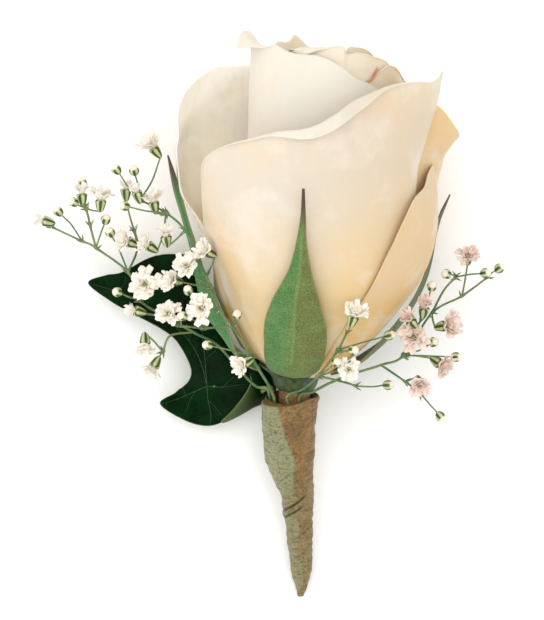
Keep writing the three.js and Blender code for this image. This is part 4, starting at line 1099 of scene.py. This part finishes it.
def grown(ob, tree, values):
    """The plain mesh that a tree grows on an object, in place of what was there."""
    modifier = ob.modifiers.new("grow", "NODES")
    modifier.node_group = tree
    for item in tree.interface.items_tree:
        if item.in_out == "INPUT" and item.name in values:
            modifier[item.identifier] = values[item.name]
    shaped = bpy.data.meshes.new_from_object(ob.evaluated_get(bpy.context.evaluated_depsgraph_get()))
    ob.modifiers.clear()
    ob.data = shaped
    shaped.name = ob.name
    return ob


def floret_tree():
    """Sets a floret on every point, turned to the way it faces and opened as far as the point says."""
    shapes = ["Fan", "Half open", "Open"]       # joined from the last of the openings to the first
    return growth("florets on their stalks", [
        ("Open", "Object"), ("Half open", "Object"), ("Fan", "Object"), ("Smallest", "Float"),
        ("Largest", "Float"), ("Seed", "Int")], [
        *((f"{shape} shape", "GeometryNodeObjectInfo", {}, [
            ("As Instance", True), ("Object", ("given", shape))]) for shape in shapes),
        ("shapes", "GeometryNodeJoinGeometry", {}, [(0, (f"{shape} shape", "Geometry")) for shape in shapes]),
        ("facing", NAMED, {"data_type": "FLOAT_VECTOR"}, [("Name", "facing")]),
        ("opening", NAMED, {"data_type": "INT"}, [("Name", "opening")]),
        ("share", NAMED, {"data_type": "FLOAT"}, [("Name", "size")]),
        ("align", "FunctionNodeAlignRotationToVector", {"axis": "Z"}, [("Vector", ("facing", "Attribute"))]),
        ("spin", "FunctionNodeRandomValue", {"data_type": "FLOAT"}, [
            (3, 6.2832), ("Seed", ("given", "Seed"))]),
        ("angle", "FunctionNodeAxisAngleToRotation", {}, [("Axis", (0, 0, 1)), ("Angle", ("spin", 1))]),
        ("turn", "FunctionNodeRotateRotation", {"rotation_space": "LOCAL"}, [
            ("Rotation", ("align", 0)), ("Rotate By", ("angle", 0))]),
        ("size", "FunctionNodeRandomValue", {"data_type": "FLOAT"}, [
            (2, ("given", "Smallest")), (3, ("given", "Largest")), ("Seed", ("given", "Seed"))]),
        ("scale", "ShaderNodeMath", {"operation": "MULTIPLY"}, [
            (0, ("size", 1)), (1, ("share", "Attribute"))]),
        ("set", "GeometryNodeInstanceOnPoints", {}, [
            ("Pick Instance", True), ("Points", ("given", "Geometry")), ("Instance", ("shapes", 0)),
            ("Instance Index", ("opening", "Attribute")), ("Rotation", ("turn", 0)),
            ("Scale", ("scale", 0))])])


def stalk_tree():
    """Sweeps a round stalk of the stored radius along every line."""
    return growth("stalks along their lines", [("Sides", "Int")], [
        ("curve", "GeometryNodeMeshToCurve", {}, [(0, ("given", "Geometry"))]),
        ("ring", "GeometryNodeCurvePrimitiveCircle", {}, [
            ("Radius", 1.0), ("Resolution", ("given", "Sides"))]),
        ("radius", NAMED, {"data_type": "FLOAT"}, [("Name", "radius_of_stalk")]),
        ("sweep", "GeometryNodeCurveToMesh", {}, [
            ("Fill Caps", True), (0, ("curve", 0)), (1, ("ring", 0)), ("Scale", ("radius", "Attribute"))]),
        ("shade", "GeometryNodeSetShadeSmooth", {}, [(0, ("sweep", 0))])])


def cup_of(centre, facing, profile, sides, stripes, lobes):
    """A ribbed calyx or bud of stations [height, radius, paleness] about a centre."""
    facing = unit(facing)
    side = unit(np.cross(facing, [0.3, 0.9, 0.2]))
    up = np.cross(facing, side)
    line = smooth_line(profile, 12)
    a = np.linspace(0, 2 * math.pi, sides, endpoint=False)
    wave = np.cos(stripes * a)
    spoke = np.cos(a)[:, None] * side + np.sin(a)[:, None] * up
    rings = np.array([centre + facing * (z + lobes * max(0, z - 0.2) * wave)[:, None]
                      + spoke * (r * (1 + 0.05 * wave))[:, None] for z, r, _ in line])
    pale = np.repeat(line[:, 2:], sides, 1)
    return rings, {"reach": pale, "stripe": np.tile(0.5 + 0.5 * wave, (len(line), 1))}


KNOT = 0.13                     # how far a stalk swells where others branch off
CALYX = [(-2.15, .2, 0), (-1.85, .5, 0), (-1.2, .76, 0), (-.5, .92, .05), (.05, 1.0, .25), (.2, .6, .5)]
BUD_HEAD = [(-1.2, .2, 0), (-.95, .56, 0), (-.4, .86, .1), (.15, .86, .5), (.7, .56, 1), (1.0, .16, 1)]


def gypsophila(name, florets_by, stalks_by, finishes, shapes, seed):
    azimuth, stalks, florets, buds = SPRAYS[name]
    spots = [p for run in stalks for p in run if not isinstance(p, int)]

    def spot(p):
        return at(*(spots[p] if isinstance(p, int) else p))

    rng = np.random.RandomState(seed)
    runs = [[spot(p) for p in run] for run in stalks]
    runs[0] = [in_wrap(azimuth, 7), in_wrap(azimuth, 0.6), in_wrap(azimuth, -1.7, 4.3)] + runs[0]
    points, edges, radii = [], [], []

    def stalk(line, start, end, knots=()):
        base = len(points)
        line = np.asarray(line)
        r = np.linspace(0, 1, len(line)) * (end - start) + start
        for knot in knots:
            r = r + KNOT * np.exp(-(np.linalg.norm(line - knot, axis=1) / 0.5) ** 2)
        points.extend(line)
        radii.extend(r)
        edges.extend((base + i, base + i + 1) for i in range(len(line) - 1))

    knots = [spot(root) for root, *_ in florets + buds]
    for i, run in enumerate(runs):
        line = smooth_line(run, 14 * len(run))
        sway = np.array([0.12 * math.sin(k * 0.21 + i) * min(1, k / 40) for k in range(len(line))])
        line = line + sway[:, None] * np.array([0.3, 0.2, 0.6])
        stalk(line, 0.3 if i == 0 else 0.22, 0.18, knots)
    heads, facings, sizes, openings, cups = [], [], [], [], []
    for root, end, facing, opening, size in florets:
        a, b, to = spot(root), at(*end), unit(facing)
        seat = b - to * 2.0
        middle = (a + seat) / 2 + np.array([0, 0, 0.45]) - to * 0.12 * np.linalg.norm(seat - a) * 0.5
        stalk(smooth_line([a, middle, seat], 18), 0.18, 0.14)
        heads.append(b - to * 0.2)
        facings.append(to)
        sizes.append(size)
        openings.append(opening)
        cups.append(cup_of(b, to, CALYX, 20, 5, 0.25))
    for root, end in buds:
        a, b = spot(root), at(*end)
        to = unit(unit(b - a) + np.array([0, 0, 0.6]))
        middle = (a + b) / 2 + np.array([0, 0, 0.55]) + rng.uniform(-0.3, 0.3, 3)
        stalk(smooth_line([a, middle, b - to * 1.0], 18), 0.17, 0.13)
        cups.append(cup_of(b, to, BUD_HEAD, 20, 5, 0.0))
    bract = [(0, .06, 0), (.25, .2, 0), (.7, .14, .2), (1.15, .02, .4)]
    for root, end in dict.fromkeys(entry[:2] for entry in florets + buds):
        a = spot(root)
        out = unit(at(*end) - a)
        aside = unit(np.cross(out, [0.2, 0.1, 1.0]))
        for lean in (-0.55, 0.65):
            cups.append(cup_of(a + aside * lean * 0.35, out + aside * lean, bract, 6, 2, 0.0))
    radii = np.array(radii, "f") * MM
    green = mesh_object(name + "_stalks", points, attributes={"radius_of_stalk": radii}, edges=edges)
    grown(green, stalks_by, {"Sides": 9, "Finish": finishes["stalk"]})
    cup_objects = []
    for k, (rings, attributes) in enumerate(cups):
        ob = sleeve(f"{name}_cup_{k}", rings, attributes)
        ob.data.materials.append(finishes["calyx"])
        cup_objects.append(ob)
    cup_piece = joined(name + "_calyces", cup_objects)
    white = mesh_object(name + "_florets", heads, attributes={
        "facing": facings, "size": sizes, "opening": openings})
    grown(white, florets_by, {"Open": shapes[0], "Half open": shapes[1], "Fan": shapes[2],
                              "Smallest": 1.03, "Largest": 1.2, "Seed": seed, "Finish": finishes["floret"]})
    for ob in (green, cup_piece, white):
        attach(ob, "root")
        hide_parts(name)


# ---------------------------------------------------------------- the room
def studio():
    floor = bpy.data.meshes.new("floor")
    floor.from_pydata([(-3, -3, 0), (3, -3, 0), (3, 3, 0), (-3, 3, 0)], [], [(0, 1, 2, 3)])
    ground = placed("floor", floor)
    f = Finish("white paper floor", Roughness=0.9)
    floor.materials.append(f.finish(f.coats(tone(250, 250, 249), (f.grain(700), (254, 254, 254)))))

    def light(name, place, size, energy, colour=(1, 1, 1)):
        lamp = bpy.data.lights.new(name, "AREA")
        lamp.size, lamp.energy, lamp.color = size, energy, colour
        ob = placed(name, lamp)
        ob.location = place
        ob.rotation_euler = (Vector((0, 0, 0.02)) - Vector(place)).to_track_quat("-Z", "Y").to_euler()

    light("window", (-0.08, 0.17, 0.7), 0.55, 1.85, (1.0, 0.99, 0.975))
    light("fill", (0.24, -0.12, 0.64), 0.7, 1.45, (1.0, 0.99, 0.98))
    light("reflector", (-0.4, -0.17, 0.17), 0.5, 0.75, (1.0, 0.98, 0.94))
    world = bpy.data.worlds.new("soft room")
    world.use_nodes = True
    world.node_tree.nodes["Background"].inputs[0].default_value = (1, 1, 1, 1)
    world.node_tree.nodes["Background"].inputs[1].default_value = 0.8
    bpy.context.scene.world = world
    camera = bpy.data.cameras.new("camera")
    camera.sensor_width = 36
    camera.lens = 18 * EYE / (310 * SHEET)
    camera.clip_start, camera.clip_end = 0.01, 10
    ob = placed("camera", camera)
    middle = at(*SHEET_MIDDLE, SHEET_LAYER)
    ob.location = Vector((middle[0], middle[1], SHEET_LAYER + EYE)) * MM
    bpy.context.scene.camera = ob
    bpy.context.scene.view_settings.view_transform = "Standard"


studio()
rose_bloom(petal_finish())
neck = neck_finish()
calyx_and_stem(sepal_finish(), neck)
tape_wrap(tape_finish())
stalk_green = stalk_finish()
ivy_leaf(ivy_finish(), vein_finish(), stalk_green)
gyp_finishes = {"stalk": stalk_green, "calyx": calyx_finish(), "floret": floret_finish(
    "gypsophila petal", (196, 190, 128), (250, 244, 232), (226, 208, 186))}
# the right back spray's florets get a darker, warmer finish as painted shade
shadowed = dict(gyp_finishes, floret=floret_finish(
    "older gypsophila petal", (150, 132, 90), (236, 214, 200), (196, 164, 146)))
floret_shapes = [floret_shape(name, 40 + k) for k, name in enumerate(OPENINGS)]
trees = floret_tree(), stalk_tree()
for number, spray_name in enumerate(SPRAYS):
    finishes = shadowed if spray_name == "gypsophila_right_back" else gyp_finishes
    gypsophila(spray_name, *trees, finishes, floret_shapes, 7 + number)
for shape in floret_shapes:
    bpy.data.objects.remove(shape)
